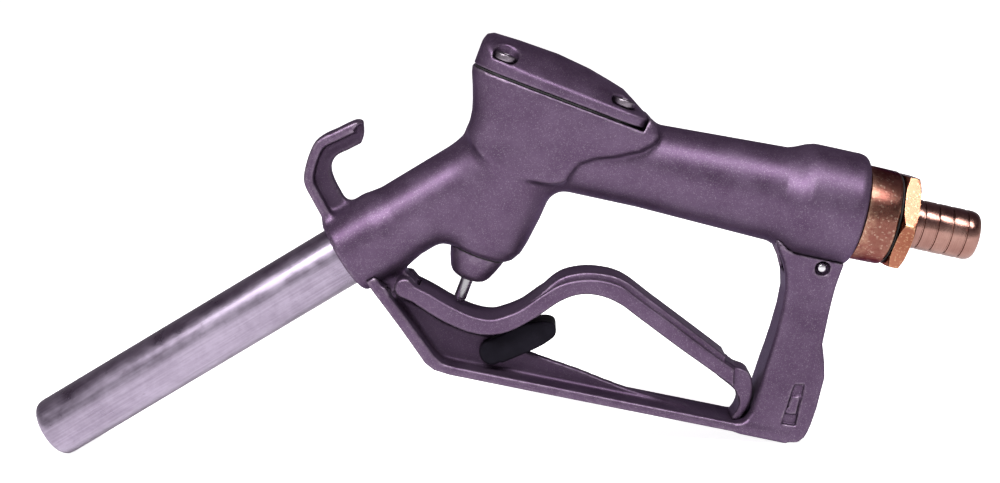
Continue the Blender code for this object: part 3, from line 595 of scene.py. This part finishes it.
def lever_field(x, y, z):
    """The lever's long wave with a raised strip along its top between two fine grooves, a
    fork over the lug and a narrow tongue curling down at its end."""
    wave = outline_distance(x, z, LEVER_OUTLINE)
    raised = outline_distance(x, z, STRIP_OUTLINE)
    lever = carried(wave, y, 12.3, 1.3)
    lever = join(lever, carried(outline_distance(x, z, TONGUE_OUTLINE), y, 7.0, 1.0), 1.5)
    lever = join(lever, carried(raised, y, 9.2, 0.9), 0.6)
    groove = np.maximum(np.maximum(-1.1 - wave, raised - 0.4), np.abs(np.abs(y) - 9.9) - 0.55)
    lever = cut(lever, groove, 0.4)
    fork = block(x, y, z, (PIVOT[0] - 12.0, -5.4, PIVOT[1] - 12.0),
                 (PIVOT[0] + 5.4, 5.4, PIVOT[1] + 12.0), 0.6)
    lever = cut(lever, fork, 0.5)
    eye = np.maximum(cross_hole(x, z, PIVOT, PIVOT_HOLE_R), np.abs(y) - 11.2)
    return cut(lever, eye, 0.3)


# ------------------------------------------------------------------ hold-open latch
LATCH_EDGE = ((6.5, -89.6), (12.8, -85.1), (18.6, -80.8), (23.0, -76.6), (24.9, -73.4),
              (24.0, -70.0), (21.6, -69.0), (17.5, -69.8), (10.1, -73.0), (3.4, -78.6))
LATCH_OUTLINE = np.vstack([round_arc(LATCH_PIVOT, 5.2, 130, 320), curved(LATCH_EDGE)])


def latch_field(x, y, z):
    """Two cheeks astride the web, joined by the finger tab."""
    latch = carried(outline_distance(x, z, LATCH_OUTLINE), y, 7.4, 1.0)
    slot = block(x, y, z, (LATCH_PIVOT[0] - 9.0, -2.7, LATCH_PIVOT[1] - 9.0),
                 (LATCH_PIVOT[0] + 16.0, 2.7, LATCH_PIVOT[1] + 14.0), 0.4)
    latch = cut(latch, slot, 0.4)
    eye = np.maximum(cross_hole(x, z, LATCH_PIVOT, 1.65), np.abs(y) - 6.4)
    return cut(latch, eye, 0.25)


def screw_field(u0, y0):
    """A cap screw: a round head with a six-sided socket, domed a little, on a shank."""
    def field(x, y, z):
        u, w = valve_coords(x, z)
        du, dy = u - u0, y - y0
        r = np.hypot(du, dy)
        head = meet(r - SCREW_HEAD_R, np.abs(w - SCREW_HEAD_W) - 1.5 + 0.012 * r * r, 0.7)
        shank = np.maximum(r - SCREW_SHANK_R, np.abs(w - 20.6) - 7.4)
        socket = np.maximum(np.abs(du) * 0.866 + np.abs(dy) * 0.5, np.abs(dy)) - 1.9
        return cut(join(head, shank, 0.4), np.maximum(socket, SCREW_HEAD_W - w), 0.25)
    return field


# ------------------------------------------------------------------ node trees
class Wiring:
    """Makes and links the nodes of one tree. A value given to a node is a number, a tuple
    (a colour or a vector) or another node's output."""

    def __init__(self, tree):
        self.tree, self.nodes, self.links = tree, tree.nodes, tree.links

    def feed(self, value, socket):
        """Sets the socket to a number or a tuple, or links it to another node's output."""
        if isinstance(value, (int, float)):
            socket.default_value = value
        elif isinstance(value, tuple):
            socket.default_value = (*value, 1.0)[:len(socket.default_value)]
        else:
            self.links.new(value, socket)

    def fill(self, node, inputs):
        for label, value in inputs.items():
            self.feed(value, node.inputs[label.replace("_", " ")])
        return node

    def new(self, kind, **inputs):
        """A new node with the inputs that are given by name, a space written as _."""
        return self.fill(self.nodes.new("ShaderNode" + kind), inputs)

    def use(self, group, **inputs):
        """The outputs of a node that stands for a group."""
        node = self.nodes.new("ShaderNodeGroup")
        node.node_tree = group
        return self.fill(node, inputs).outputs

    def math(self, operation, *values):
        node = self.nodes.new("ShaderNodeMath")
        node.operation = operation
        for socket, value in zip(node.inputs, values):
            self.feed(value, socket)
        return node.outputs[0]

    def blend(self, a, share_a, b, share_b):
        """a * share_a + b * share_b."""
        return self.math("ADD", self.math("MULTIPLY", a, share_a),
                         self.math("MULTIPLY", b, share_b))

    def noise(self, vector, scale, detail, roughness):
        return self.new("TexNoise", Vector=vector, Scale=scale, Detail=detail,
                        Roughness=roughness).outputs["Fac"]

    def spread(self, value, low, high, to=(0.0, 1.0)):
        """A value's range low to high brought to the range to, and held inside it."""
        return self.new("MapRange", Value=value, From_Min=low, From_Max=high,
                        To_Min=to[0], To_Max=to[1]).outputs["Result"]

    def mix(self, share, a, b):
        """Colour a where share is 0, colour b where it is 1."""
        node = self.nodes.new("ShaderNodeMix")
        node.data_type = "RGBA"
        for index, value in ((0, share), (6, a), (7, b)):
            self.feed(value, node.inputs[index])
        return node.outputs[2]

    def place(self):
        """Each spot's place in its object's own space, in metres."""
        return self.new("TexCoord").outputs["Object"]


def node_group(name, inputs, outputs):
    """A shader node group with named sockets. Gives its wiring, the values that it is given
    and the sockets that its results go to."""
    tree = bpy.data.node_groups.new(name, "ShaderNodeTree")
    for label, (kind, value) in inputs.items():
        socket = tree.interface.new_socket(label, in_out="INPUT",
                                           socket_type="NodeSocket" + kind)
        socket.default_value = value
    for label, kind in outputs.items():
        tree.interface.new_socket(label, in_out="OUTPUT", socket_type="NodeSocket" + kind)
    start, end = tree.nodes.new("NodeGroupInput"), tree.nodes.new("NodeGroupOutput")
    return Wiring(tree), start.outputs, end.inputs


def make_cast_grain():
    """Sand-fine grain of a blasted casting: soft mottling, small bright specks, pits."""
    wires, given, results = node_group(
        "cast_grain", {"Grain": ("Float", 3200.0)},
        {"Mottle": "Float", "Speck": "Float", "Height": "Float"})
    where = wires.place()
    mottle = wires.noise(where, 60.0, 5.0, 0.65)
    fine = wires.noise(where, given["Grain"], 2.0, 0.7)
    wide = wires.noise(where, 260.0, 2.0, 0.5)
    cell = wires.new("TexVoronoi", Vector=where, Scale=given["Grain"])
    tint = wires.new("SeparateColor", Color=cell.outputs["Color"])
    wires.feed(wires.spread(mottle, 0.3, 0.72), results["Mottle"])
    wires.feed(wires.spread(tint.outputs[0], 0.86, 1.0), results["Speck"])
    wires.feed(wires.blend(fine, 0.6, wide, 0.8), results["Height"])
    return wires.tree


def make_edge_wear_and_hollow_shade():
    """How far a spot stands out as an edge, broken up by noise, for paler worn edges, and how deep it lies
    in a hollow, for painted shade there, both from the mesh's pointiness, which is 0.5 on a flat face."""
    wires, given, results = node_group("edge_wear_and_hollow_shade", {"Pointiness": ("Float", 0.5)},
                                       {"Edge": "Float", "Hollow": "Float"})
    ragged = wires.spread(wires.noise(wires.place(), 420.0, 4.0, 0.7), 0.35, 0.7)
    edge = wires.spread(given["Pointiness"], 0.515, 0.60)
    wires.feed(wires.math("MULTIPLY", edge, ragged), results["Edge"])
    # Hollow is the mask for painted shade in concave places.
    wires.feed(wires.spread(given["Pointiness"], 0.49, 0.43), results["Hollow"])
    return wires.tree


def make_axis_frame():
    """Two patterns' places about the axis that runs through Origin along Along, with Up
    square to it: Ring changes along the axis only, Streak 0.035 times as fast along it as
    across it."""
    wires, given, results = node_group(
        "axis_frame", {"Origin": ("Vector", (0, 0, 0)), "Along": ("Vector", (1, 0, 0)),
                       "Up": ("Vector", (0, 0, 1))}, {"Ring": "Vector", "Streak": "Vector"})

    def vector(operation, a, b):
        node = wires.nodes.new("ShaderNodeVectorMath")
        node.operation = operation
        wires.feed(a, node.inputs[0])
        wires.feed(b, node.inputs[1])
        return node.outputs["Value" if operation == "DOT_PRODUCT" else "Vector"]

    from_origin = vector("SUBTRACT", wires.place(), given["Origin"])
    along = vector("DOT_PRODUCT", from_origin, given["Along"])
    ring = wires.new("CombineXYZ", X=along)
    streak = wires.new("CombineXYZ", X=wires.math("MULTIPLY", along, 0.035),
                       Y=vector("DOT_PRODUCT", from_origin, given["Up"]),
                       Z=wires.new("SeparateXYZ", Vector=from_origin).outputs["Y"])
    wires.feed(ring.outputs[0], results["Ring"])
    wires.feed(streak.outputs[0], results["Streak"])
    return wires.tree


CAST_GRAIN = make_cast_grain()
EDGE_WEAR_AND_HOLLOW_SHADE = make_edge_wear_and_hollow_shade()
AXIS_FRAME = make_axis_frame()


# ------------------------------------------------------------------ finishes
SPECULAR_TINT = (0.30, 0.26, 0.36)
WEB_HALF = (0.0034, 0.0046)
WEB_SHADE, HOLLOW_SHADE = 0.62, 0.6
SPECK_SHARE = 0.2


def blank_finish(name, metallic, roughness):
    """A new material. Gives it, its wiring and its shader's inputs."""
    finish = bpy.data.materials.new(name)
    finish.use_nodes = True
    shader = finish.node_tree.nodes["Principled BSDF"].inputs
    shader["Metallic"].default_value = metallic
    shader["Roughness"].default_value = roughness
    return finish, Wiring(finish.node_tree), shader


def bump(wires, shader, height, distance):
    node = wires.new("Bump", Strength=1.0, Distance=distance, Height=height)
    wires.feed(node.outputs["Normal"], shader["Normal"])


def web_shade_mask(wires):
    """1 on the sides of the thin webs near the middle plane, where painted shade darkens these recesses."""
    spot = wires.new("TexCoord").outputs
    far, side = (wires.math("ABSOLUTE", wires.new("SeparateXYZ", Vector=way).outputs["Y"])
                 for way in (spot["Object"], spot["Normal"]))
    near = wires.math("SUBTRACT", 1.0, wires.spread(far, *WEB_HALF))
    return wires.math("MULTIPLY", near, wires.spread(side, 0.5, 0.9))


def cast_finish(name, dark, light, speck, edge, metallic=1.0, rough=(0.36, 0.50),
                grain=4200.0, depth=0.00003, specular=0.5):
    """Blasted casting: mottled colour, bright specks, paler worn edges, painted shade in hollows and on web sides.
    """
    finish, wires, shader = blank_finish(name, metallic, rough[0])
    wires.feed(specular, shader["Specular IOR Level"])
    wires.feed(SPECULAR_TINT, shader["Specular Tint"])
    grains = wires.use(CAST_GRAIN, Grain=grain)
    marks = wires.use(EDGE_WEAR_AND_HOLLOW_SHADE, Pointiness=wires.new("NewGeometry").outputs["Pointiness"])
    colour = wires.mix(grains["Mottle"], dark, light)
    colour = wires.mix(wires.math("MULTIPLY", grains["Speck"], SPECK_SHARE), colour, speck)
    colour = wires.mix(marks["Edge"], colour, edge)
    # Painted shade: the sides of the thin webs and the hollows are darkened towards a quarter of the dark colour.
    shade = wires.math("MAXIMUM", wires.math("MULTIPLY", web_shade_mask(wires), WEB_SHADE),
                       wires.math("MULTIPLY", marks["Hollow"], HOLLOW_SHADE))
    colour = wires.mix(shade, colour, tuple(0.25 * c for c in dark))
    wires.feed(colour, shader["Base Color"])
    wires.feed(wires.spread(grains["Mottle"], 0.0, 1.0, rough), shader["Roughness"])
    bump(wires, shader, grains["Height"], depth)
    return finish


def lined_finish(name, dark, light, axis, pattern, lines, patches, span, rough, blots=0.0):
    """Bare worked metal: fine lines in a pattern about an axis, soft patches that are
    duller or brighter, and dark blots. lines and patches are the settings of a noise, and
    span is the range of the two together that goes from dark to light."""
    finish, wires, shader = blank_finish(name, 1.0, rough[0])
    about = wires.use(AXIS_FRAME, Origin=tuple(HANDLE_ORIGIN), Along=tuple(axis[0]),
                      Up=tuple(axis[1]))
    where = wires.place()
    line = wires.noise(about[pattern], *lines)
    patch = wires.noise(where, *patches)
    colour = wires.mix(wires.spread(wires.blend(line, 0.4, patch, 0.6), *span), dark, light)
    if blots:
        blot = wires.spread(wires.noise(where, 190.0, 3.0, 0.6), 0.66, 0.8)
        colour = wires.mix(wires.math("MULTIPLY", blot, blots), colour,
                           tuple(0.45 * c for c in dark))
    wires.feed(colour, shader["Base Color"])
    wires.feed(wires.spread(patch, 0.3, 0.7, rough), shader["Roughness"])
    bump(wires, shader, line, 0.00002)
    return finish


def rubber_finish(name):
    """Black rubber under uneven dust."""
    finish, wires, shader = blank_finish(name, 0.0, 0.6)
    dust = wires.spread(wires.noise(wires.place(), 350.0, 4.0, 0.6), 0.4, 0.8)
    wires.feed(wires.mix(dust, (0.006, 0.006, 0.006), (0.03, 0.028, 0.03)),
               shader["Base Color"])
    bump(wires, shader, dust, 0.00003)
    return finish


SPOUT_AXIS = (HANDLE_AXIS * SPOUT_WAY[0] + HANDLE_UP * SPOUT_WAY[1],
              -HANDLE_AXIS * SPOUT_WAY[1] + HANDLE_UP * SPOUT_WAY[0])
CAST = cast_finish("die_cast", (0.063, 0.037, 0.070), (0.104, 0.069, 0.115),
                   (0.50, 0.44, 0.50), (0.30, 0.25, 0.30), metallic=0.8)
BARE = lined_finish("bare_tube", (0.20, 0.165, 0.22), (0.32, 0.275, 0.35), SPOUT_AXIS,
                    "Streak", (900.0, 4.0, 0.6), (75.0, 6.0, 0.7), span=(0.38, 0.62),
                    rough=(0.24, 0.42), blots=0.5)
TURNED = lined_finish("turned_tail", (0.20, 0.098, 0.082), (0.31, 0.18, 0.15),
                      (HANDLE_AXIS, HANDLE_UP), "Ring", (2600.0, 2.0, 0.6),
                      (130.0, 5.0, 0.6), span=(0.36, 0.64), rough=(0.16, 0.32))
SLEEVE_BRASS = cast_finish("cast_brass", (0.10, 0.034, 0.027), (0.21, 0.078, 0.062),
                           (0.95, 0.78, 0.60), (0.62, 0.42, 0.28), rough=(0.22, 0.38),
                           grain=1500.0, depth=0.00006)
HEX_BRASS = cast_finish("forged_brass", (0.19, 0.062, 0.036), (0.32, 0.13, 0.08),
                        (0.9, 0.7, 0.4), (0.75, 0.5, 0.26), rough=(0.20, 0.32),
                        grain=2000.0)
STEEL = cast_finish("ground_steel", (0.42, 0.41, 0.43), (0.62, 0.61, 0.63),
                    (0.8, 0.8, 0.8), (0.8, 0.8, 0.8), rough=(0.22, 0.36), grain=4000.0,
                    depth=0.00001)
ZINC = cast_finish("zinc_plate", (0.11, 0.09, 0.11), (0.20, 0.17, 0.20),
                   (0.6, 0.58, 0.6), (0.55, 0.5, 0.55), rough=(0.30, 0.45), grain=4000.0,
                   depth=0.00002)
BLACKENED = cast_finish("blackened_steel", (0.004, 0.0035, 0.005), (0.010, 0.009, 0.013),
                        (0.006, 0.003, 0.006), (0.010, 0.005, 0.010), metallic=0.0,
                        rough=(0.5, 0.66), grain=3600.0, depth=0.00002, specular=0.04)
RUBBER = rubber_finish("seal_rubber")
SLOT_FINISH = {"cast": CAST, "bare": BARE, "brass": SLEEVE_BRASS, "turned_brass": TURNED,
               "steel": STEEL, "zinc": ZINC, "rubber": RUBBER, "black_steel": BLACKENED}


# ------------------------------------------------------------------ pieces
def settle(piece, node, finish):
    """A finished piece stands for its CAD node, rides its body and takes its slot."""
    piece.data.materials.clear()
    piece.data.materials.append(finish)
    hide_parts(node)
    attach(piece, BODY_OF[node])
    return piece


BODY_OF = {node: body for body, nodes in frame["record"]["behaviour"]["bodies"].items()
           for node in nodes}
SLOT_OF = {part["node"]: part["material_slot"] for part in frame["record"]["subparts"]}

settle(skin("nozzle_casting", casting_field, (-90.0, -25.0, -77.0), (134.0, 25.0, 29.0), 0.9),
       "nozzle_body", CAST)
settle(skin("cap_casting", cap_field, (-40.0, -23.0, 6.0), (52.0, 23.0, 46.0), 0.62),
       "valve_cap", CAST)
settle(skin("guard_casting", guard_field, (-60.0, -16.0, -100.0), (137.0, 16.0, -12.0), 0.8),
       "trigger_guard", CAST)
settle(skin("lever_casting", lever_field, (-44.0, -14.0, -95.0), (110.0, 14.0, -43.0), 0.66),
       "trigger_lever", CAST)
settle(skin("latch_plate", latch_field, (-6.0, -9.0, -94.0), (29.0, 9.0, -66.0), 0.5),
       "hold_open_latch", BLACKENED)
for number, (u0, y0) in enumerate(SCREW_SPOTS, 1):
    spot = along_valve(u0, y0)(np.array([12.0, 31.0]), np.zeros(2), np.zeros(2))
    settle(skin(f"cap_screw_head_{number}", screw_field(u0, y0), spot.min(0) - 5.2,
                spot.max(0) + 5.2, 0.3), f"cap_screw_{number}", ZINC)

SPOUT_RING = [(62.6, 12.5), (110.0, 12.5), (170.0, 12.5), (228.6, 12.5), (230.2, 12.3),
              (231.2, 11.85), (231.8, 11.2), (232.0, 10.6), (231.8, 10.15), (231.2, 10.0),
              (229.6, 10.3), (227.0, 11.0), (170.0, 11.0), (110.0, 11.0), (62.6, 11.0)]
settle(turned_piece("spout_pipe", SPOUT_RING, along_spout, 160), "spout_tube", BARE)

SLEEVE_RING = [(109.2, 14.6), (109.2, 16.9), (131.2, 16.9), (131.2, 18.6), (131.6, 19.0),
               (136.0, 18.95), (142.9, 18.8), (143.6, 18.6), (144.0, 18.1), (144.0, 12.3),
               (119.4, 12.3), (119.4, 14.6)]
settle(turned_piece("swivel_sleeve_ring", SLEEVE_RING, along_handle), "swivel_sleeve",
       SLEEVE_BRASS)


def hexagon(angle):
    """A hexagon's edge at an angle: half its flats over the cosine from the flat's middle."""
    return HEX_FLATS / 2 / np.cos((angle - math.radians(HEX_TURN)) % (math.pi / 3)
                                  - math.pi / 6)


HEX_RING = [(114.0, 7.6), (114.0, 11.6), (114.4, 12.0), (115.4, 12.0), (115.4, 11.0),
            (117.5, 11.0), (117.5, 12.0), (125.7, 12.0), (125.7, 10.0), (128.3, 10.0),
            (128.3, 12.0), (HEX_START, 12.0), (HEX_START, 17.0), (HEX_START, 18.3)]
HEX_RING += [(HEX_START + 0.12 + 0.16 * i, 18.9 + 0.3 * i) for i in range(7)]
HEX_RING += [(HEX_START + 2.2, 21.2), (HEX_END - 2.2, 21.2)]
HEX_RING += [(HEX_END - 0.12 - 0.16 * i, 18.7 + 0.32 * i) for i in range(6, -1, -1)]
HEX_RING += [(HEX_END, 18.0), (HEX_END, 9.3), (136.0, 9.3), (136.0, 7.6)]
settle(turned_piece("swivel_hexagon", HEX_RING, along_handle, 180, hexagon, sharp=28.0),
       "swivel_hex", HEX_BRASS)


def tail_ring():
    """The hose tail: a bright round shank with four narrow grooves and a rounded end."""
    ring = [(136.4, 6.2), (136.4, 9.0), (151.7, 9.0), (151.8, 9.7), (152.1, BARB_R)]
    for groove in (155.9, 161.5, 167.3, 173.1):
        ring += [(groove - 0.15, BARB_R), (groove, 9.75), (groove + 0.12, 9.35),
                 (groove + 0.5, 9.35), (groove + 0.75, 9.75), (groove + 1.6, BARB_R)]
    return ring + [(176.4, BARB_R - 0.05), (177.6, 9.6), (178.5, 9.1), (179.0, 8.5),
                   (BARB_END, 7.9), (BARB_END, 6.7), (178.9, 6.3), (178.4, 6.2)]


settle(turned_piece("tail_shank", tail_ring(), along_handle, 144), "hose_tail", TURNED)
SEAL_RING = [(144.3, 12.5), (144.3, 17.6), (144.65, 17.95), (145.0, 17.6), (145.0, 12.5)]
settle(turned_piece("dust_seal_ring", SEAL_RING, along_handle), "swivel_dust_seal", RUBBER)

GLAND_RING = [(-60.4, 2.62), (-60.4, 4.2), (-60.1, 5.2), (-59.3, 6.7), (-58.4, 7.6),
              (-57.2, 8.4), (-53.6, 9.9), (-49.5, 11.25), (-49.2, 11.25), (-49.2, 8.9),
              (-41.6, 8.9), (-41.6, 4.4), (-44.6, 4.4), (-44.6, 2.62)]
spring = settle(coil_piece("valve_spring_coil", radius=7.4, wire=0.9, low=18.2, high=29.4,
                           turns=5.5), "main_spring", STEEL)
SPRING_TOP_W = 30.4
SPRING_SEAT = to_world(along_valve()(np.array([SPRING_TOP_W]), np.zeros(1), np.zeros(1)))[0]
tuple(SPRING_SEAT)
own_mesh(spring)
settle(turned_piece("gland_nose", GLAND_RING, along_valve(), 112), "packing_gland", CAST)
STEM_ROD = [(-70.7, 0.0), (-70.68, 0.8), (-70.4, 1.5), (-69.9, 2.0), (-69.3, 2.3),
            (-68.4, 2.5), (-40.0, 2.5), (0.0, 2.5), (13.8, 2.5), (13.8, 0.0)]
settle(turned_piece("stem_rod", STEM_ROD, along_valve(), 64), "valve_stem", STEEL)


def pin_rod(half, radius, head=0.0):
    """A pin with domed ends, and a wider head at each end where head is its radius."""
    edge = head or radius
    end = [(half, 0.0), (half - 0.08, 0.5 * edge), (half - 0.35, 0.85 * edge),
           (half - 0.75, edge)]
    if head:
        end += [(half - 1.5, edge), (half - 1.5, radius)]
    return [(-h, r) for h, r in end] + [(h, r) for h, r in end[::-1]]


for node, spot, half, radius, head in (
        ("trigger_pivot_pin", PIVOT, 11.0, 2.0, 0.0),
        ("guard_front_pin", GUARD_PIN, 11.0, 1.5, 0.0),
        ("guard_rear_pin", REAR_PIN, 9.7, 1.5, 1.9),
        ("latch_pin", LATCH_PIVOT, 6.2, 1.5, 0.0)):
    settle(turned_piece(node + "_rod", pin_rod(half, radius, head), across(spot), 48),
           node, STEEL)

for node, obj in frame["nodes"].items():
    obj.data.materials.clear()
    obj.data.materials.append(SLOT_FINISH[SLOT_OF[node]])

# ------------------------------------------------------------------ floor, light, camera
FLOOR_REACH = 30.0
FLOOR_RINGS = 24
FLOOR_STEPS = 96
FLOOR_GLOW = 0.3
FLOOR_GLOW_SEEN = 0.6
SKY_LOW, SKY_HIGH = (1.0, 1.0, 1.0), (0.15, 0.11, 0.15)
SKY_STRENGTH = 0.82


def make_floor():
    """A flat round floor: rings of radius REACH * t^3, so the middle is finely divided."""
    share = (np.arange(1, FLOOR_RINGS + 1) / FLOOR_RINGS) ** 3 * FLOOR_REACH
    angle = 2 * np.pi * np.arange(FLOOR_STEPS) / FLOOR_STEPS
    ring = np.stack([share[:, None] * np.cos(angle), share[:, None] * np.sin(angle)], axis=2)
    points = np.vstack([[[0.0, 0.0]], ring.reshape(-1, 2)])
    points = np.hstack([points, np.zeros((len(points), 1))])
    at = 1 + np.arange(FLOOR_RINGS * FLOOR_STEPS).reshape(FLOOR_RINGS, FLOOR_STEPS)
    nxt = np.roll(at, -1, axis=1)
    faces = np.stack([at[:-1], at[1:], nxt[1:], nxt[:-1]], axis=2).reshape(-1, 4).tolist()
    faces += [[0, a, b] for a, b in zip(at[0].tolist(), nxt[0].tolist())]
    mesh = bpy.data.meshes.new("studio_floor")
    mesh.from_pydata(points.tolist(), [], faces)
    floor = bpy.data.objects.new("studio_floor", mesh)
    bpy.context.scene.collection.objects.link(floor)
    finish, wires, shader = blank_finish("pale_floor", 0.0, 0.9)
    grain = wires.noise(wires.place(), 8.0, 3.0, 0.5)
    wires.feed(wires.mix(grain, (0.94, 0.94, 0.94), (0.96, 0.96, 0.96)),
               shader["Base Color"])
    wires.feed((1.0, 1.0, 1.0), shader["Emission Color"])
    seen = wires.new("LightPath").outputs["Is Camera Ray"]
    glow = wires.math("ADD", FLOOR_GLOW, wires.math("MULTIPLY", seen, FLOOR_GLOW_SEEN))
    wires.feed(glow, shader["Emission Strength"])
    mesh.materials.append(finish)


make_floor()


def area_light(name, place, aim, width, height, power):
    """A white soft box at place that faces aim."""
    light = bpy.data.lights.new(name, "AREA")
    light.shape = "RECTANGLE"
    light.size, light.size_y = width, height
    light.energy = power
    obj = bpy.data.objects.new(name, light)
    away = np.array(place, float) - np.array(aim, float)
    away /= np.linalg.norm(away)
    right = np.cross((0.0, 0.0, 1.0), away)
    right /= np.linalg.norm(right)
    up = np.cross(away, right)
    turn = np.eye(4)
    turn[:3, 0], turn[:3, 1], turn[:3, 2], turn[:3, 3] = right, up, away, place
    obj.matrix_world = Matrix(turn.tolist())
    bpy.context.scene.collection.objects.link(obj)


area_light("front_softbox", (0.16, -0.90, 1.58), (0.0, 0.0, 0.08), 1.7, 0.42, 32.0)
area_light("left_softbox", (-0.63, -1.04, 1.15), (-0.1, 0.0, 0.06), 1.0, 0.22, 24.0)
area_light("right_softbox", (0.63, -0.69, 0.94), (0.145, 0.0, 0.09), 0.26, 0.26, 3.0)


def make_sky():
    """A pale studio: bright near the horizon, dim overhead and dim behind the object."""
    world = bpy.data.worlds.new("pale_studio")
    bpy.context.scene.world = world
    world.use_nodes = True
    wires = Wiring(world.node_tree)
    way = wires.new("SeparateXYZ", Vector=wires.new("TexCoord").outputs["Generated"]).outputs
    behind = wires.math("MULTIPLY", wires.spread(way["Y"], 0.1, 0.6), 0.8)
    dim = wires.math("MAXIMUM", wires.spread(way["Z"], 0.0, 0.5), behind)
    light = wires.nodes["Background"].inputs
    wires.feed(wires.mix(dim, SKY_LOW, SKY_HIGH), light["Color"])
    wires.feed(SKY_STRENGTH, light["Strength"])


make_sky()

CAMERA_PLACE = (0.02024, -0.6170, 0.1910)
CAMERA_YAW = math.radians(-1.78)
CAMERA_PITCH = math.radians(9.86)
CAMERA_ROLL = math.radians(-1.91)
LENS = 56.16
SENSOR_WIDTH = 36.0
NEAREST, FARTHEST = 0.01, 100.0


def make_camera():
    """The camera looks along yaw and pitch, then turns by roll about that line."""
    yaw, pitch, roll = CAMERA_YAW, CAMERA_PITCH, CAMERA_ROLL
    view = np.array([math.sin(yaw) * math.cos(pitch), math.cos(yaw) * math.cos(pitch),
                     -math.sin(pitch)])
    right = np.array([math.cos(yaw), -math.sin(yaw), 0.0])
    up = np.cross(right, view)
    turn = np.eye(4)
    turn[:3, 0] = math.cos(roll) * right + math.sin(roll) * up
    turn[:3, 1] = -math.sin(roll) * right + math.cos(roll) * up
    turn[:3, 2] = -view
    turn[:3, 3] = CAMERA_PLACE
    camera = bpy.data.cameras.new("studio_camera")
    camera.lens = LENS
    camera.sensor_width = SENSOR_WIDTH
    camera.clip_start, camera.clip_end = NEAREST, FARTHEST
    obj = bpy.data.objects.new("studio_camera", camera)
    obj.matrix_world = Matrix(turn.tolist())
    bpy.context.scene.collection.objects.link(obj)
    bpy.context.scene.camera = obj


make_camera()
bpy.context.scene.view_settings.view_transform = "Standard"
